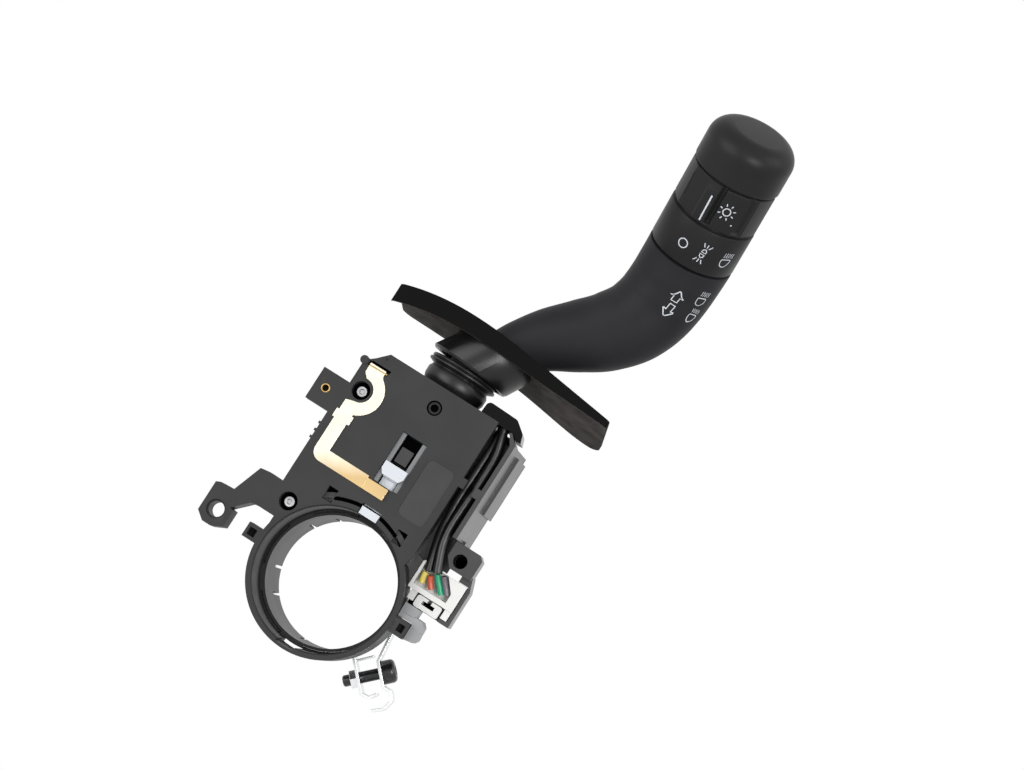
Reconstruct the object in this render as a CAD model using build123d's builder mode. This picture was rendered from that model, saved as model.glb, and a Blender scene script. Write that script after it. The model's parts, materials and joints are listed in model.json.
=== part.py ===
"""Combination stalk switch: indicator, dip/flash and exterior light lever on a column ring.

Millimetres. +Z runs up the steering column towards the driver, +Y from the column to the lever,
+X to the side that the cable leaves. The origin is on the column axis, on the seat of the sleeve.
"""
from build123d import *
import math
import os

os.makedirs("parts", exist_ok=True)

# ---------------------------------------------------------------- driving dimensions
# column fit
column_r = 21.2
sleeve_wall = 0.9
sleeve_length = 30.0
sleeve_flange_t = 1.5
sleeve_slit = 0.9
sleeve_slit_length = 14.0
sleeve_tongues = 5
sleeve_tongue_angle = 24.0
sleeve_tongue_start = 196.0
sleeve_tabs = 6
sleeve_tab_angle = 22.0
ring_gap = 0.9
ring_wall = 2.0
ring_depth = 18.0
ring_chamfer = 0.45
ring_slot_start = -97.0
ring_slot_end = -81.0
ring_slot_width = 1.1
lip_t = 1.6

# front plate
plate_t = 2.6
plate_left = -28.0
plate_right = 19.4
plate_top = 70.3
plate_corner = 6.0
tab_left = -36.4
tab_low = 44.7
tab_high = 56.0
tab_t = 6.0
insert_x = -32.5
insert_y = 50.5
insert_r = 1.5
insert_bore = 1.02
arm_t = 9.0
eye_x = -41.0
eye_y = 0.3
eye_r = 2.5
eye_counterbore = 3.1
eye_counterbore_depth = 1.5
window_low = 34.2
window_high = 52.0
window_half = 4.5
window_x = 0.1
panel_x = 12.2
panel_y = 39.4
panel_width = 9.8
panel_height = 20.2
panel_depth = 0.3
strip_t = 0.5
screw_head_r = 1.7
screw_head_t = 1.4
screw_socket_r = 0.9
screw_socket_depth = 0.8
screw_shank_r = 1.1
screw_length = 9.0
screw_recess_r = 3.0
screw_recess_depth = 4.4
screw_cup_r = 3.9
screw_cup_floor = 1.2
screw_post_r = 3.3
upper_screw = (-22.6, 55.7)
lower_screw_angle = 148.0
lower_screw_out = 2.2
latch_slot_in = 1.8
label_corner_r = 2.0

# housing
wall = 1.8
body_left = -27.4
body_right = 19.0
body_low = 9.0
body_high = 69.6
body_depth = 24.9
cover_t = 2.5
channel_width = 7.4
channel_low = 32.4
channel_high = 66.5
channel_floor = 5.0
outer_wall = 1.5
flank_draft = 2.6
flank_step = 1.0
flank_low = 43.5
neck_r = 8.4
neck_wall = 1.2
neck_length = 2.4

# connector
boss_across = 10.1
boss_y = 27.2
boss_r = 2.3
boss_low = 23.7
boss_high = 32.2
boss_width = 16.0
boss_front = 14.0
boss_hole_depth = 10.0
frame_wall = 1.3
connector_ring_gap = 0.4
connector_w = 16.2
connector_low = 12.2
connector_high = 21.5
connector_front = 12.0
connector_rear = -5.0
connector_wall = 1.5
connector_web = 6.0
pin_count = 6
pin_side = 0.8
pin_length = 4.0
latch_width = 8.8
latch_t = 4.0

# sleeves and wires
cable_sleeve_r = 1.55
wire_r = 0.95
cord_bend = 0.45
hood_recess = 3.0
hood_rear = 1.0
hood_t = 1.4
hood_round = 1.6

# moving parts
pivot_y = 63.3
lever_rise = 0.05
pivot_top_r = 2.4
pivot_low_r = 3.0
pin_gap = 0.06
run_gap = 0.3
seat_gap = 0.05
press_gap = 0.02
body_gap = 0.7
cheek_half = 8.3
cheek_wall = 2.5
tilt_pin_r = 2.0
nose_half = 5.0
detent_radius = 22.5
detent_gap = 0.28
detent_pin_r = 2.0
dip_radius = 12.3
dip_pin_r = 1.5
slot_pin_r = 1.5
slot_pin_y = 47.0
dip_stud_r = 1.2
dip_stud_y = 56.3
lug_radius = 21.3
notch_angle = 8.5
yoke_front = 51.6
yoke_back = 67.0
yoke_corner = 1.2
pocket_end = 49.2
pin_shoulder = 2.6
nose_start = 2.6
nose_height = 9.2
board_x = -1.5
board_y = 47.2
board_w = 33.0
board_h = 9.6
board_t = 1.4
contact_t = 0.15
slider_w = 15.0
slider_h = 8.6
slider_t = 2.05
root_front = 54.6
root_back = 66.6
root_half = 4.5
dip_pocket_end = 60.4

# cancelling plunger
plunger_head_low = 37.9
plunger_head_high = 41.6
plunger_out = 0.1
plunger_tongue = 5.0
tongue_low = 36.9
plunger_nose = 6.4
nose_x = 0.6
nose_low = 11.3
nose_top = 17.5
plunger_mid = 0.1

# lever
neck_shaft_r = 6.0
collar_r = 14.1
collar_low = 80.0
collar_high = 87.4
collar_reach = 6.0
collar_wall = 1.6
collar_lean = 4.2
collar_shift = 4.2
gaiter_bulge_r = 10.8
gaiter_lip_r = 12.0
shield_left = -30.2
shield_right = 48.8
shield_front = 18.7
shield_rear = -16.0
shield_t = 1.5
shield_rim = 1.6
lever_wall = 2.0
head_r = 13.85
head_tilt = 34.0
head_lean = 1.5
head_x = 40.8
head_y = 148.0
head_rise = 10.0
legend_length = 15.6
grip_length = 15.6
cap_length = 14.6
cap_round = 6.4
segment_gap = 0.55
segment_step = 1.2
spindle_r = 3.0
flute_count = 6
flute_width = 5.4
flute_depth = 1.1

# clamp
band_t = 1.0
band_width = 8.0
band_z = -22.0
ear_angle = -45.5
ear_spread = 7.5
ear_out = 6.0
ear_run = 29.0
bolt_r = 1.9
bolt_head_r = 3.9
bolt_head_length = 4.4
bolt_head_round = 1.5
bolt_end = 2.6
bolt_socket = 1.8
bolt_socket_depth = 2.4
nut_across = 5.8
nut_length = 2.2

# ---------------------------------------------------------------- places worked out from them
plate_z = ring_depth
plate_back = plate_z - plate_t
cover_front = plate_back - body_depth
cover_back = cover_front - cover_t
sleeve_out = column_r + sleeve_wall
ring_r = sleeve_out + ring_gap
ring_out = ring_r + ring_wall
cup_back = plate_z - screw_recess_depth - screw_cup_floor
channel_right = body_right + channel_width
outer_right = channel_right + outer_wall
band_r = sleeve_out + seat_gap
band_mid = band_r + band_t / 2
ear_reach = ring_out + ear_out
ear_start = math.degrees(math.asin(ear_spread / band_mid))
lower_screw = ((ring_out + lower_screw_out) * math.cos(math.radians(lower_screw_angle)),
               (ring_out + lower_screw_out) * math.sin(math.radians(lower_screw_angle)))
screw_posts = [upper_screw, lower_screw, (body_right - 4.0, 65.0), (body_right - 4.0, 31.0)]
connector_left = math.sqrt(ring_out ** 2 - connector_low ** 2) + connector_ring_gap
connector_right = connector_left + connector_w
connector_h = connector_high - connector_low
connector_cx = (connector_left + connector_right) / 2
connector_cy = (connector_low + connector_high) / 2
latch_x = connector_cx + 0.6
pin_pitch = (connector_w - 2 * connector_wall) / pin_count
boss_x = connector_left + boss_across
boss_right = connector_left + boss_width
hood_front = plate_z - hood_recess
plunger_tip = ring_r + plunger_out
lever_z = (plate_back + cover_front) / 2 + lever_rise
yoke_top = plate_back - 2.2
yoke_low = cover_front + board_t + slider_t + 0.65
cheek_out = cheek_half + cheek_wall
nose_tip = pivot_y - detent_radius + nose_start
slot_pin_end = cover_front + board_t + 1.0
tip_y = pivot_y - detent_radius
pin_seat = pocket_end - pin_shoulder
dip_tip = pivot_y - dip_radius
dip_seat = dip_pocket_end - pin_shoulder
slider_low = cover_front + board_t + run_gap
grip_start = legend_length + run_gap
cap_start = grip_start + grip_length + seat_gap
grip_r = head_r - 0.5
head_z = lever_z + head_rise
flank_right = outer_right + flank_draft
frame_right = connector_right + 0.2 + frame_wall
frame_low = connector_low - 4.6
pivot = (0.0, pivot_y)
tilt = math.radians(head_tilt)
lean = math.radians(head_lean)
head_dir = Vector(math.sin(lean), math.cos(tilt), math.sin(tilt)).normalized()
head_base = Vector(head_x, head_y, head_z)


def head_plane(distance):
    """Plane square to the head axis, this far beyond the head's base."""
    return Plane(origin=head_base + head_dir * distance, x_dir=(1, 0, 0), z_dir=head_dir)


def lever_plane(y):
    """Plane square to the straight lever root at this Y."""
    return Plane(origin=(0, y, lever_z), x_dir=(1, 0, 0), z_dir=(0, 1, 0))


def ring_sector(inner, outer, start, end):
    """Flat piece of a ring about the column axis, between two angles in degrees."""
    with BuildSketch(mode=Mode.PRIVATE) as sector:
        with BuildLine():
            a = CenterArc((0, 0), inner, start, end - start)
            b = CenterArc((0, 0), outer, start, end - start)
            Line(a @ 0, b @ 0)
            Line(a @ 1, b @ 1)
        make_face()
    return sector.sketch


body_outline = [
    (body_left, body_low),
    (body_left, body_high - plate_corner + 1.0),
    (body_left + plate_corner, body_high),
    (body_right, body_high),
    (body_right, body_low),
]

plate_outline = [
    (plate_left, 18.9),
    (plate_left, tab_low),
    (tab_left, tab_low),
    (tab_left, tab_high),
    (plate_left + 1.5, tab_high),
    (plate_left + 1.5, plate_top - 4.6),
    (plate_left + 2.8, plate_top - 4.6),
    (plate_left + 7.3, plate_top),
    (plate_right, plate_top),
    (plate_right, 20.7),
    (18.3, 16.7),
    (12.0, 12.0),
    (-20.0, 4.7),
    (-24.4, 4.7),
    (-24.4, 8.1),
    (-28.0, 8.1),
]

arm_outline = [
    (body_left - 0.05, 18.9),
    (-32.7, 19.0),
    (-36.0, 18.5),
    (eye_x + 1.5, eye_y + 8.2),
    (eye_x - 3.2, eye_y + 7.9),
    (eye_x - 4.7, eye_y + 7.2),
    (eye_x - 4.7, eye_y - 3.1),
    (eye_x - 1.7, eye_y - 5.4),
    (eye_x + 1.3, eye_y - 5.4),
    (eye_x + 5.0, eye_y - 3.6),
    (eye_x + 5.0, eye_y + 2.4),
    (eye_x + 3.6, eye_y + 2.6),
    (-32.7, 7.7),
    (-30.7, 8.1),
    (body_left - 0.05, 8.1),
]

arm_stations = [
    # x, y, z, heading from +Y towards +X, climb towards the driver, radius
    (2.9, 82.4, lever_z, 27, 0, 7.2),
    (6.6, 88.9, lever_z, 33, 0, 7.4),
    (11.0, 95.4, lever_z, 39, 0, 7.9),
    (17.1, 102.0, lever_z, 47, 0, 9.2),
    (24.7, 108.2, lever_z, 50, 1, 10.6),
    (32.2, 114.8, lever_z + 0.2, 41, 3, 11.7),
    (37.6, 122.6, lever_z + 0.9, 25, 8, 12.5),
    (40.1, 131.2, lever_z + 2.6, 10, 18, 13.1),
    (40.7, 139.8, lever_z + 5.8, 3, 28, 13.6),
]

# top edge of the shield along its front and its rear, left to right
front_top = [(shield_left, 91.0), (-17.7, 93.9), (-7.7, 94.7), (2.3, 94.5), (22.3, 92.4), (42.3, 89.7),
             (shield_right, 88.8)]
rear_top = [(shield_left, 88.0), (-14.5, 87.8), (2.0, 87.2), (16.9, 86.2), (29.5, 84.1),
            (shield_right, 82.8)]
shield_levels = [(shield_rear, rear_top), (shield_front, front_top)]

# ---------------------------------------------------------------- front plate
with BuildPart() as front_plate:
    with BuildSketch(Plane.XY.offset(plate_back)):
        with BuildLine():
            Polyline(plate_outline, close=True)
        make_face()
    extrude(amount=plate_t)
    with BuildSketch():
        Circle(ring_out)
    extrude(amount=ring_depth)
    with BuildSketch(Plane.XY.offset(plate_z)):
        with BuildLine():
            Polyline(arm_outline, close=True)
        make_face()
    extrude(amount=-arm_t)
    with BuildSketch(Plane.XY.offset(plate_z - arm_t)):
        with BuildLine():
            Polyline([(-27.5, 17.4), (-35.0, 17.4), (-38.6, 6.7), (-36.9, 5.5), (-33.2, 9.4),
                      (-27.5, 9.7)],
                     close=True)
        make_face()
    extrude(amount=arm_t - plate_t, mode=Mode.SUBTRACT)
    with BuildSketch(Plane.XY.offset(plate_z)):
        with Locations(((tab_left + body_left - 0.05) / 2, (tab_low + tab_high) / 2)):
            Rectangle(body_left - 0.05 - tab_left, tab_high - tab_low)
    extrude(amount=-tab_t)
    # small tongue that keeps the cables in their channel
    with BuildSketch(Plane.XY.offset(plate_z)):
        with Locations((plate_right + 0.7, 48.2)):
            Rectangle(2.2, 3.2)
    extrude(amount=-plate_t)
    # cups that the screws sit in, and a small post on the upper left edge
    with BuildSketch(Plane.XY.offset(plate_back + 0.1)):
        with Locations(upper_screw, lower_screw):
            Circle(screw_cup_r)
    extrude(amount=-(plate_back + 0.1 - cup_back))
    with BuildSketch(Plane.XY.offset(plate_z + 0.4)):
        with Locations((-26.9, 64.6)):
            Circle(1.4)
    extrude(amount=-plate_t - 0.3)
    # catch frame on the right of the ring
    with BuildSketch(Plane.XY.offset(plate_z - 0.6)):
        with Locations((ring_out + 2.0, -0.1)):
            Rectangle(6.0, 5.4)
    extrude(amount=-9.0)
    with BuildSketch(Plane.XY.offset(plate_z)):
        Circle(ring_r)
    extrude(amount=-ring_depth, mode=Mode.SUBTRACT)
    with Locations((0, 0, plate_z - ring_chamfer / 2)):
        Cone(ring_r, ring_r + ring_chamfer, ring_chamfer, mode=Mode.SUBTRACT)
    with BuildSketch():
        Circle(ring_out)
        Circle(sleeve_out + 0.15, mode=Mode.SUBTRACT)
    extrude(amount=-lip_t)
    # catch on the left of the ring, open at the front
    with BuildSketch(Plane.XY.offset(plate_z)):
        with Locations((-ring_out - 1.9, 0.2)):
            Rectangle(5.6, 5.0)
        Circle(ring_out - 0.5, mode=Mode.SUBTRACT)
    extrude(amount=-8.0)
    with BuildSketch(Plane.XY.offset(plate_z)):
        with Locations((-ring_out - 2.4, 0.2)):
            Rectangle(2.6, 2.6)
        with Locations((ring_out + 3.0, -0.1)):
            Rectangle(2.2, 2.6)
    extrude(amount=-6.0, mode=Mode.SUBTRACT)
    # slot through the ring's wall at its lower side
    with BuildSketch(Plane.XY.offset(plate_z)):
        add(ring_sector(sleeve_out + 0.1, ring_r + ring_slot_width, ring_slot_start, ring_slot_end))
    extrude(amount=-ring_depth - lip_t, mode=Mode.SUBTRACT)
    # screw seats, pivot hole, insert hole, arm eye
    with Locations(*[Location((x, y, plate_z)) for x, y in (upper_screw, lower_screw)]):
        CounterBoreHole(screw_shank_r + 0.2, screw_recess_r, screw_recess_depth, depth=plate_z - cup_back)
    with Locations((0, pivot_y, plate_z)):
        CounterBoreHole(pivot_top_r + pin_gap, 3.1, 0.5, depth=plate_t)
    with Locations((-20.9, 68.4, plate_z)):
        Hole(0.5, depth=0.4)
    with Locations((insert_x, insert_y, plate_z)):
        Hole(insert_r + press_gap, depth=tab_t - 0.5)
    with Locations((eye_x, eye_y, plate_z)):
        CounterBoreHole(eye_r, eye_counterbore, eye_counterbore_depth, depth=arm_t)
    # slide window, horn strip slot, two latch slots, gap over the ring
    with BuildSketch(Plane.XY.offset(plate_z)):
        with Locations((window_x, (window_low + window_high) / 2)):
            Rectangle(2 * window_half, window_high - window_low)
        with Locations((-21.7, 64.6)):
            Rectangle(7.2, 1.8)
        with Locations((-13.0, ring_out - latch_slot_in), (12.7, ring_out - latch_slot_in)):
            Rectangle(3.4, 4.6)
    extrude(amount=-plate_t, mode=Mode.SUBTRACT)
    with BuildSketch(Plane.XY.offset(plate_z)):
        add(ring_sector(ring_out - 0.1, ring_out + 1.2, 64, 117))
    extrude(amount=-plate_t, mode=Mode.SUBTRACT)
    # label recess
    with BuildSketch(Plane.XY.offset(plate_z)):
        with Locations((panel_x, panel_y)):
            RectangleRounded(panel_width, panel_height, label_corner_r)
    extrude(amount=-panel_depth, mode=Mode.SUBTRACT)
    # passage for the cancelling plunger through the ring, open at the front
    with BuildSketch(Plane.XZ.offset(-(ring_r - 1.0))):
        with Locations((nose_x, (nose_low + plate_z) / 2)):
            Rectangle(plunger_nose + 2 * run_gap, plate_z - nose_low)
    extrude(amount=-4.5, mode=Mode.SUBTRACT)
front_plate.part.label = "front_plate"
export_step(front_plate.part, "parts/front_plate.step")

# ---------------------------------------------------------------- housing body
with BuildPart() as housing_body:
    with BuildSketch(Plane.XY.offset(cover_front)) as body_face:
        with BuildLine():
            Polyline(body_outline, close=True)
        make_face()
        Circle(ring_out + body_gap, mode=Mode.SUBTRACT)
    extrude(amount=body_depth)
    with BuildSketch(Plane.XY.offset(cover_front)):
        offset(body_face.sketch, amount=-wall, kind=Kind.INTERSECTION)
    extrude(amount=body_depth, mode=Mode.SUBTRACT)
    # posts for the plate and cover screws
    with BuildSketch(Plane.XY.offset(cover_front)):
        with Locations(*screw_posts):
            Circle(screw_post_r)
        add(body_face.sketch, mode=Mode.INTERSECT)
    extrude(amount=body_depth)
    with BuildSketch(Plane.XY.offset(cup_back - 0.05)):
        with Locations(upper_screw, lower_screw):
            Circle(screw_cup_r + 0.1)
    extrude(amount=plate_z, mode=Mode.SUBTRACT)
    # cable channel: floor and outer wall with its sloping flank
    with BuildSketch(Plane.XY.offset(channel_floor - wall)):
        with Locations(((body_right + outer_right) / 2, (channel_low + channel_high) / 2)):
            Rectangle(outer_right - body_right, channel_high - channel_low)
    extrude(amount=wall)
    with BuildSketch(Plane.XY.offset(cover_front)):
        with BuildLine():
            Polyline([(channel_right, channel_low), (outer_right, channel_low),
                      (outer_right, channel_high),
                      (outer_right - 3.0, body_high), (channel_right - 2.4, body_high - 0.2),
                      (channel_right, channel_high - 0.8)], close=True)
        make_face()
    extrude(amount=plate_z - cover_front)
    with BuildSketch(Plane.XZ.offset(-channel_high)):
        with BuildLine():
            Polyline([(channel_right, plate_z), (outer_right, plate_z), (flank_right, cover_front),
                      (channel_right, cover_front)], close=True)
        make_face()
    extrude(amount=channel_high - channel_low)
    with BuildSketch(Plane.XZ.offset(-(channel_high - 2.0))):
        with BuildLine():
            Polyline([(channel_right, 6.0), (outer_right + 1.2, 6.0),
                      (outer_right + 1.2 + flank_step, 5.0),
                      (flank_right + flank_step, cover_front), (channel_right, cover_front)], close=True)
        make_face()
    extrude(amount=channel_high - 2.0 - flank_low)
    with BuildSketch(Plane.XY.offset(plate_z)):
        with Locations((channel_right - 0.8, 47.7)):
            Rectangle(2.4, 3.2)
    extrude(amount=-plate_t)
    with BuildSketch(Plane.XY.offset(cover_front)):
        with Locations(((body_right + outer_right) / 2, channel_high - 2.0),
                       ((body_right + outer_right) / 2, 46.0)):
            Rectangle(outer_right - body_right, outer_wall)
    extrude(amount=channel_floor - wall - cover_front)
    # boss and frame that carry the connector
    with BuildSketch(Plane.XY.offset(boss_front)):
        with BuildLine():
            Polyline([(boss_x - 4.3, boss_high), (boss_right - 1.4, boss_high),
                      (boss_right, boss_high - 1.4),
                      (boss_right, boss_low), (boss_x - 1.9, boss_low), (boss_x - 4.3, boss_y - 0.4)],
                      close=True)
        make_face()
    extrude(amount=-12.0)
    with BuildSketch(Plane.XY.offset(channel_floor - wall)):
        with BuildLine():
            Polyline([(body_right - wall, connector_high), (body_right - wall, channel_low + 1.0),
                      (boss_x - 2.3, channel_low + 1.0), (boss_x - 2.3, connector_high + 0.3),
                      (connector_left - 0.3, connector_high + 0.3),
                      (connector_left - 1.2, connector_high)],
                     close=True)
        make_face()
    extrude(amount=wall)
    with BuildSketch(Plane.XY.offset(connector_front - 1.0)):
        with BuildLine():
            Polyline([(boss_x + 2.7, boss_low + 1.5), (boss_right, boss_low + 1.5),
                      (frame_right, connector_high - 1.0),
                      (frame_right, frame_low), (boss_x + 3.7, frame_low),
                      (boss_x + 3.7, frame_low + frame_wall),
                      (connector_right + 0.2, frame_low + frame_wall),
                      (connector_right + 0.2, connector_high + 0.2),
                      (boss_x + 2.7, connector_high + 0.2)], close=True)
        make_face()
    extrude(amount=-13.0)
    with BuildSketch(Plane.XY.offset(connector_front - 1.0)):
        with BuildLine():
            Polyline([(connector_left - 0.2, connector_high), (connector_left - 0.2, connector_low + 0.7),
                      (connector_left - 1.3, connector_low + 3.0),
                      (body_right - wall, connector_high - 2.0),
                      (body_right - wall, connector_high + 1.5)], close=True)
        make_face()
        Circle(ring_out + body_gap, mode=Mode.SUBTRACT)
    extrude(amount=-13.0)
    with Locations((boss_x, boss_y, boss_front)):
        Hole(boss_r, depth=boss_hole_depth)
    # pilot holes in the posts
    with Locations(*[Location((x, y, cup_back)) for x, y in (upper_screw, lower_screw)]):
        Hole(screw_shank_r + press_gap, depth=screw_length)
    # round neck for the gaiter, with its passage
    with BuildSketch(lever_plane(body_high - wall)):
        Circle(neck_r + neck_wall)
    extrude(amount=wall + neck_length)
    with BuildSketch(lever_plane(body_high - wall - 0.5)):
        Circle(neck_r)
    extrude(amount=wall + neck_length + 1.0, mode=Mode.SUBTRACT)
    # passage of the cancelling plunger
    with BuildSketch(Plane.XZ.offset(-(ring_out - 1.0))):
        with Locations((nose_x, nose_low + 2.1)):
            Rectangle(plunger_nose + 2 * run_gap, 4.2)
    extrude(amount=-4.5, mode=Mode.SUBTRACT)
    # three small ribs on the left wall
    for rib_y in (35.3, 37.9, 40.5):
        with BuildSketch(Plane.XY.offset(cover_front + 2.0)):
            with Locations((body_left - 0.5, rib_y)):
                Rectangle(2.2, 0.9)
        extrude(amount=body_depth - 2.0)
housing_body.part.label = "housing_body"
export_step(housing_body.part, "parts/housing_body.step")

# ---------------------------------------------------------------- rear cover
with BuildPart() as rear_cover:
    with BuildSketch(Plane.XY.offset(cover_back)) as cover_face:
        with BuildLine():
            Polyline(body_outline, close=True)
        make_face()
        with BuildLine():
            Polyline([(body_right - 1.0, channel_low), (flank_right, channel_low),
                      (flank_right, flank_low),
                      (flank_right + flank_step, flank_low),
                      (flank_right + flank_step, channel_high - 2.0),
                      (flank_right, channel_high - 2.0), (flank_right, channel_high),
                      (outer_right, channel_high),
                      (outer_right - 3.0, body_high), (body_right - 1.0, body_high)], close=True)
        make_face()
        Circle(ring_out + body_gap, mode=Mode.SUBTRACT)
    extrude(amount=cover_t)
    # shallow stiffening ribs outside
    with BuildSketch(Plane.XY.offset(cover_back)):
        with Locations((-12.0, 45.0), (2.0, 40.0), (12.0, 45.0)):
            Rectangle(1.2, 24.0)
    extrude(amount=-1.0)
    with Locations((0, pivot_y, cover_front)):
        Hole(pivot_low_r + pin_gap, depth=cover_t)
    with Locations(*[Location((x, y, cover_back), (180, 0, 0)) for x, y in screw_posts]):
        Hole(screw_shank_r + 0.1, depth=cover_t)
rear_cover.part.label = "rear_cover"
export_step(rear_cover.part, "parts/rear_cover.step")

# ---------------------------------------------------------------- column sleeve
with BuildPart() as column_sleeve:
    with BuildSketch(Plane.XY.offset(-sleeve_length)):
        Circle(sleeve_out)
        Circle(column_r, mode=Mode.SUBTRACT)
    extrude(amount=sleeve_length + sleeve_flange_t)
    # tabs that seat on the ring's lip
    with BuildSketch():
        for tab in range(sleeve_tabs):
            middle = tab * 360 / sleeve_tabs + 28
            add(ring_sector(column_r + 0.2, ring_r - 0.1, middle - sleeve_tab_angle / 2,
                            middle + sleeve_tab_angle / 2))
    extrude(amount=sleeve_flange_t)
    # slits on both sides of each springy tongue
    for side in (0, sleeve_tongue_angle):
        with BuildSketch(Plane.XY.offset(-sleeve_length)):
            with PolarLocations(column_r + sleeve_wall / 2, sleeve_tongues,
                                start_angle=sleeve_tongue_start + side):
                Rectangle(4 * sleeve_wall, sleeve_slit)
        extrude(amount=sleeve_slit_length, mode=Mode.SUBTRACT)
column_sleeve.part.label = "column_sleeve"
export_step(column_sleeve.part, "parts/column_sleeve.step")

# ---------------------------------------------------------------- clamp band, bolt and nut
ear_plane = Plane(origin=(0, 0, band_z), x_dir=(math.cos(math.radians(ear_angle)),
                                                math.sin(math.radians(ear_angle)), 0), z_dir=(0, 0, 1))
with BuildPart() as clamp_band:
    with BuildSketch(ear_plane.offset(-band_width / 2)):
        with BuildLine(mode=Mode.PRIVATE) as band_path:
            band_arc = CenterArc((0, 0), band_mid, ear_start + ear_run, 360 - ear_start - ear_run)
            FilletPolyline([band_arc @ 0, (ring_out + 2.2, ear_spread), (ear_reach + 4.6, ear_spread),
                            (ear_reach + 6.4, ear_spread + 2.0), (ear_reach + 9.6, ear_spread + 1.6),
                            (ear_reach + 11.6, ear_spread - 1.6), (ear_reach + 11.2, 2.0)], radius=1.0)
            FilletPolyline([band_arc @ 1, (ear_reach + 5.2, 0.0), (ear_reach + 7.0, 2.2),
                            (ear_reach + 6.4, 5.0)],
                           radius=1.0)
        trace(band_path.line, line_width=band_t)
    extrude(amount=band_width)
    # tongue of the band that bridges the gap between the ears
    with BuildSketch(ear_plane.offset(-band_width / 2 + 1.0)):
        with BuildLine(mode=Mode.PRIVATE) as tongue_path:
            Line((ring_out + 0.4, 0.0), (ring_out + 0.2, ear_spread - band_t))
        trace(tongue_path.line, line_width=0.7)
    extrude(amount=band_width - 2.0)
    with Locations(ear_plane * Location((ear_reach, -2.0, 0), (-90, 0, 0))):
        Hole(bolt_r + 0.1, depth=ear_spread + 4.0)
bolt_plane = Plane(origin=ear_plane.from_local_coords((ear_reach, ear_spread + band_t / 2, 0)),
                   x_dir=(0, 0, 1), z_dir=ear_plane.y_dir)
clamp_band.part.label = "clamp_band"
export_step(clamp_band.part, "parts/clamp_band.step")
with BuildPart() as clamp_bolt:
    with BuildSketch(bolt_plane):
        Circle(bolt_head_r)
    extrude(amount=bolt_head_length)
    fillet(clamp_bolt.faces().sort_by(Axis((0, 0, 0), bolt_plane.z_dir))[-1].edges(), bolt_head_round)
    with BuildSketch(bolt_plane.offset(bolt_head_length)):
        RegularPolygon(bolt_socket, 6)
    extrude(amount=-bolt_socket_depth, mode=Mode.SUBTRACT)
    with BuildSketch(bolt_plane):
        Circle(bolt_r)
    extrude(amount=-(ear_spread + band_t + nut_length + bolt_end))
    chamfer(clamp_bolt.edges().filter_by(GeomType.CIRCLE).sort_by(Axis((0, 0, 0), bolt_plane.z_dir))[0],
            0.5)
clamp_bolt.part.label = "clamp_bolt"
export_step(clamp_bolt.part, "parts/clamp_bolt.step")
with BuildPart() as clamp_nut:
    with BuildSketch(bolt_plane.offset(-(ear_spread + band_t))):
        RegularPolygon(nut_across / 2, 6, major_radius=False)
        Circle(bolt_r + press_gap, mode=Mode.SUBTRACT)
    extrude(amount=-nut_length)
clamp_nut.part.label = "clamp_nut"
export_step(clamp_nut.part, "parts/clamp_nut.step")

# ---------------------------------------------------------------- screws and insert
with BuildPart() as plate_screws:
    for x, y in (upper_screw, lower_screw):
        seat = Plane(origin=(x, y, plate_z - screw_recess_depth))
        with BuildSketch(seat):
            Circle(screw_head_r)
        extrude(amount=screw_head_t)
        with BuildSketch(seat.offset(screw_head_t)):
            RegularPolygon(screw_socket_r, 6)
        extrude(amount=-screw_socket_depth, mode=Mode.SUBTRACT)
        with BuildSketch(seat):
            Circle(screw_shank_r)
        extrude(amount=-screw_length + 1.0)
plate_screws.part.label = "plate_screws"
export_step(plate_screws.part, "parts/plate_screws.step")
with BuildPart() as cover_screws:
    for x, y in screw_posts:
        seat = Plane(origin=(x, y, cover_back), z_dir=(0, 0, -1))
        with BuildSketch(seat):
            Circle(screw_head_r + 0.3)
        extrude(amount=screw_head_t)
        with BuildSketch(seat.offset(screw_head_t)):
            RegularPolygon(screw_socket_r, 6)
        extrude(amount=-screw_socket_depth, mode=Mode.SUBTRACT)
        with BuildSketch(seat):
            Circle(screw_shank_r)
        extrude(amount=-cover_t)
cover_screws.part.label = "cover_screws"
export_step(cover_screws.part, "parts/cover_screws.step")
with BuildPart() as threaded_insert:
    with BuildSketch(Plane.XY.offset(plate_z)):
        with Locations((insert_x, insert_y)):
            Circle(insert_r)
            Circle(insert_bore, mode=Mode.SUBTRACT)
    extrude(amount=-tab_t + 0.5)
threaded_insert.part.label = "threaded_insert"
export_step(threaded_insert.part, "parts/threaded_insert.step")

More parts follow.
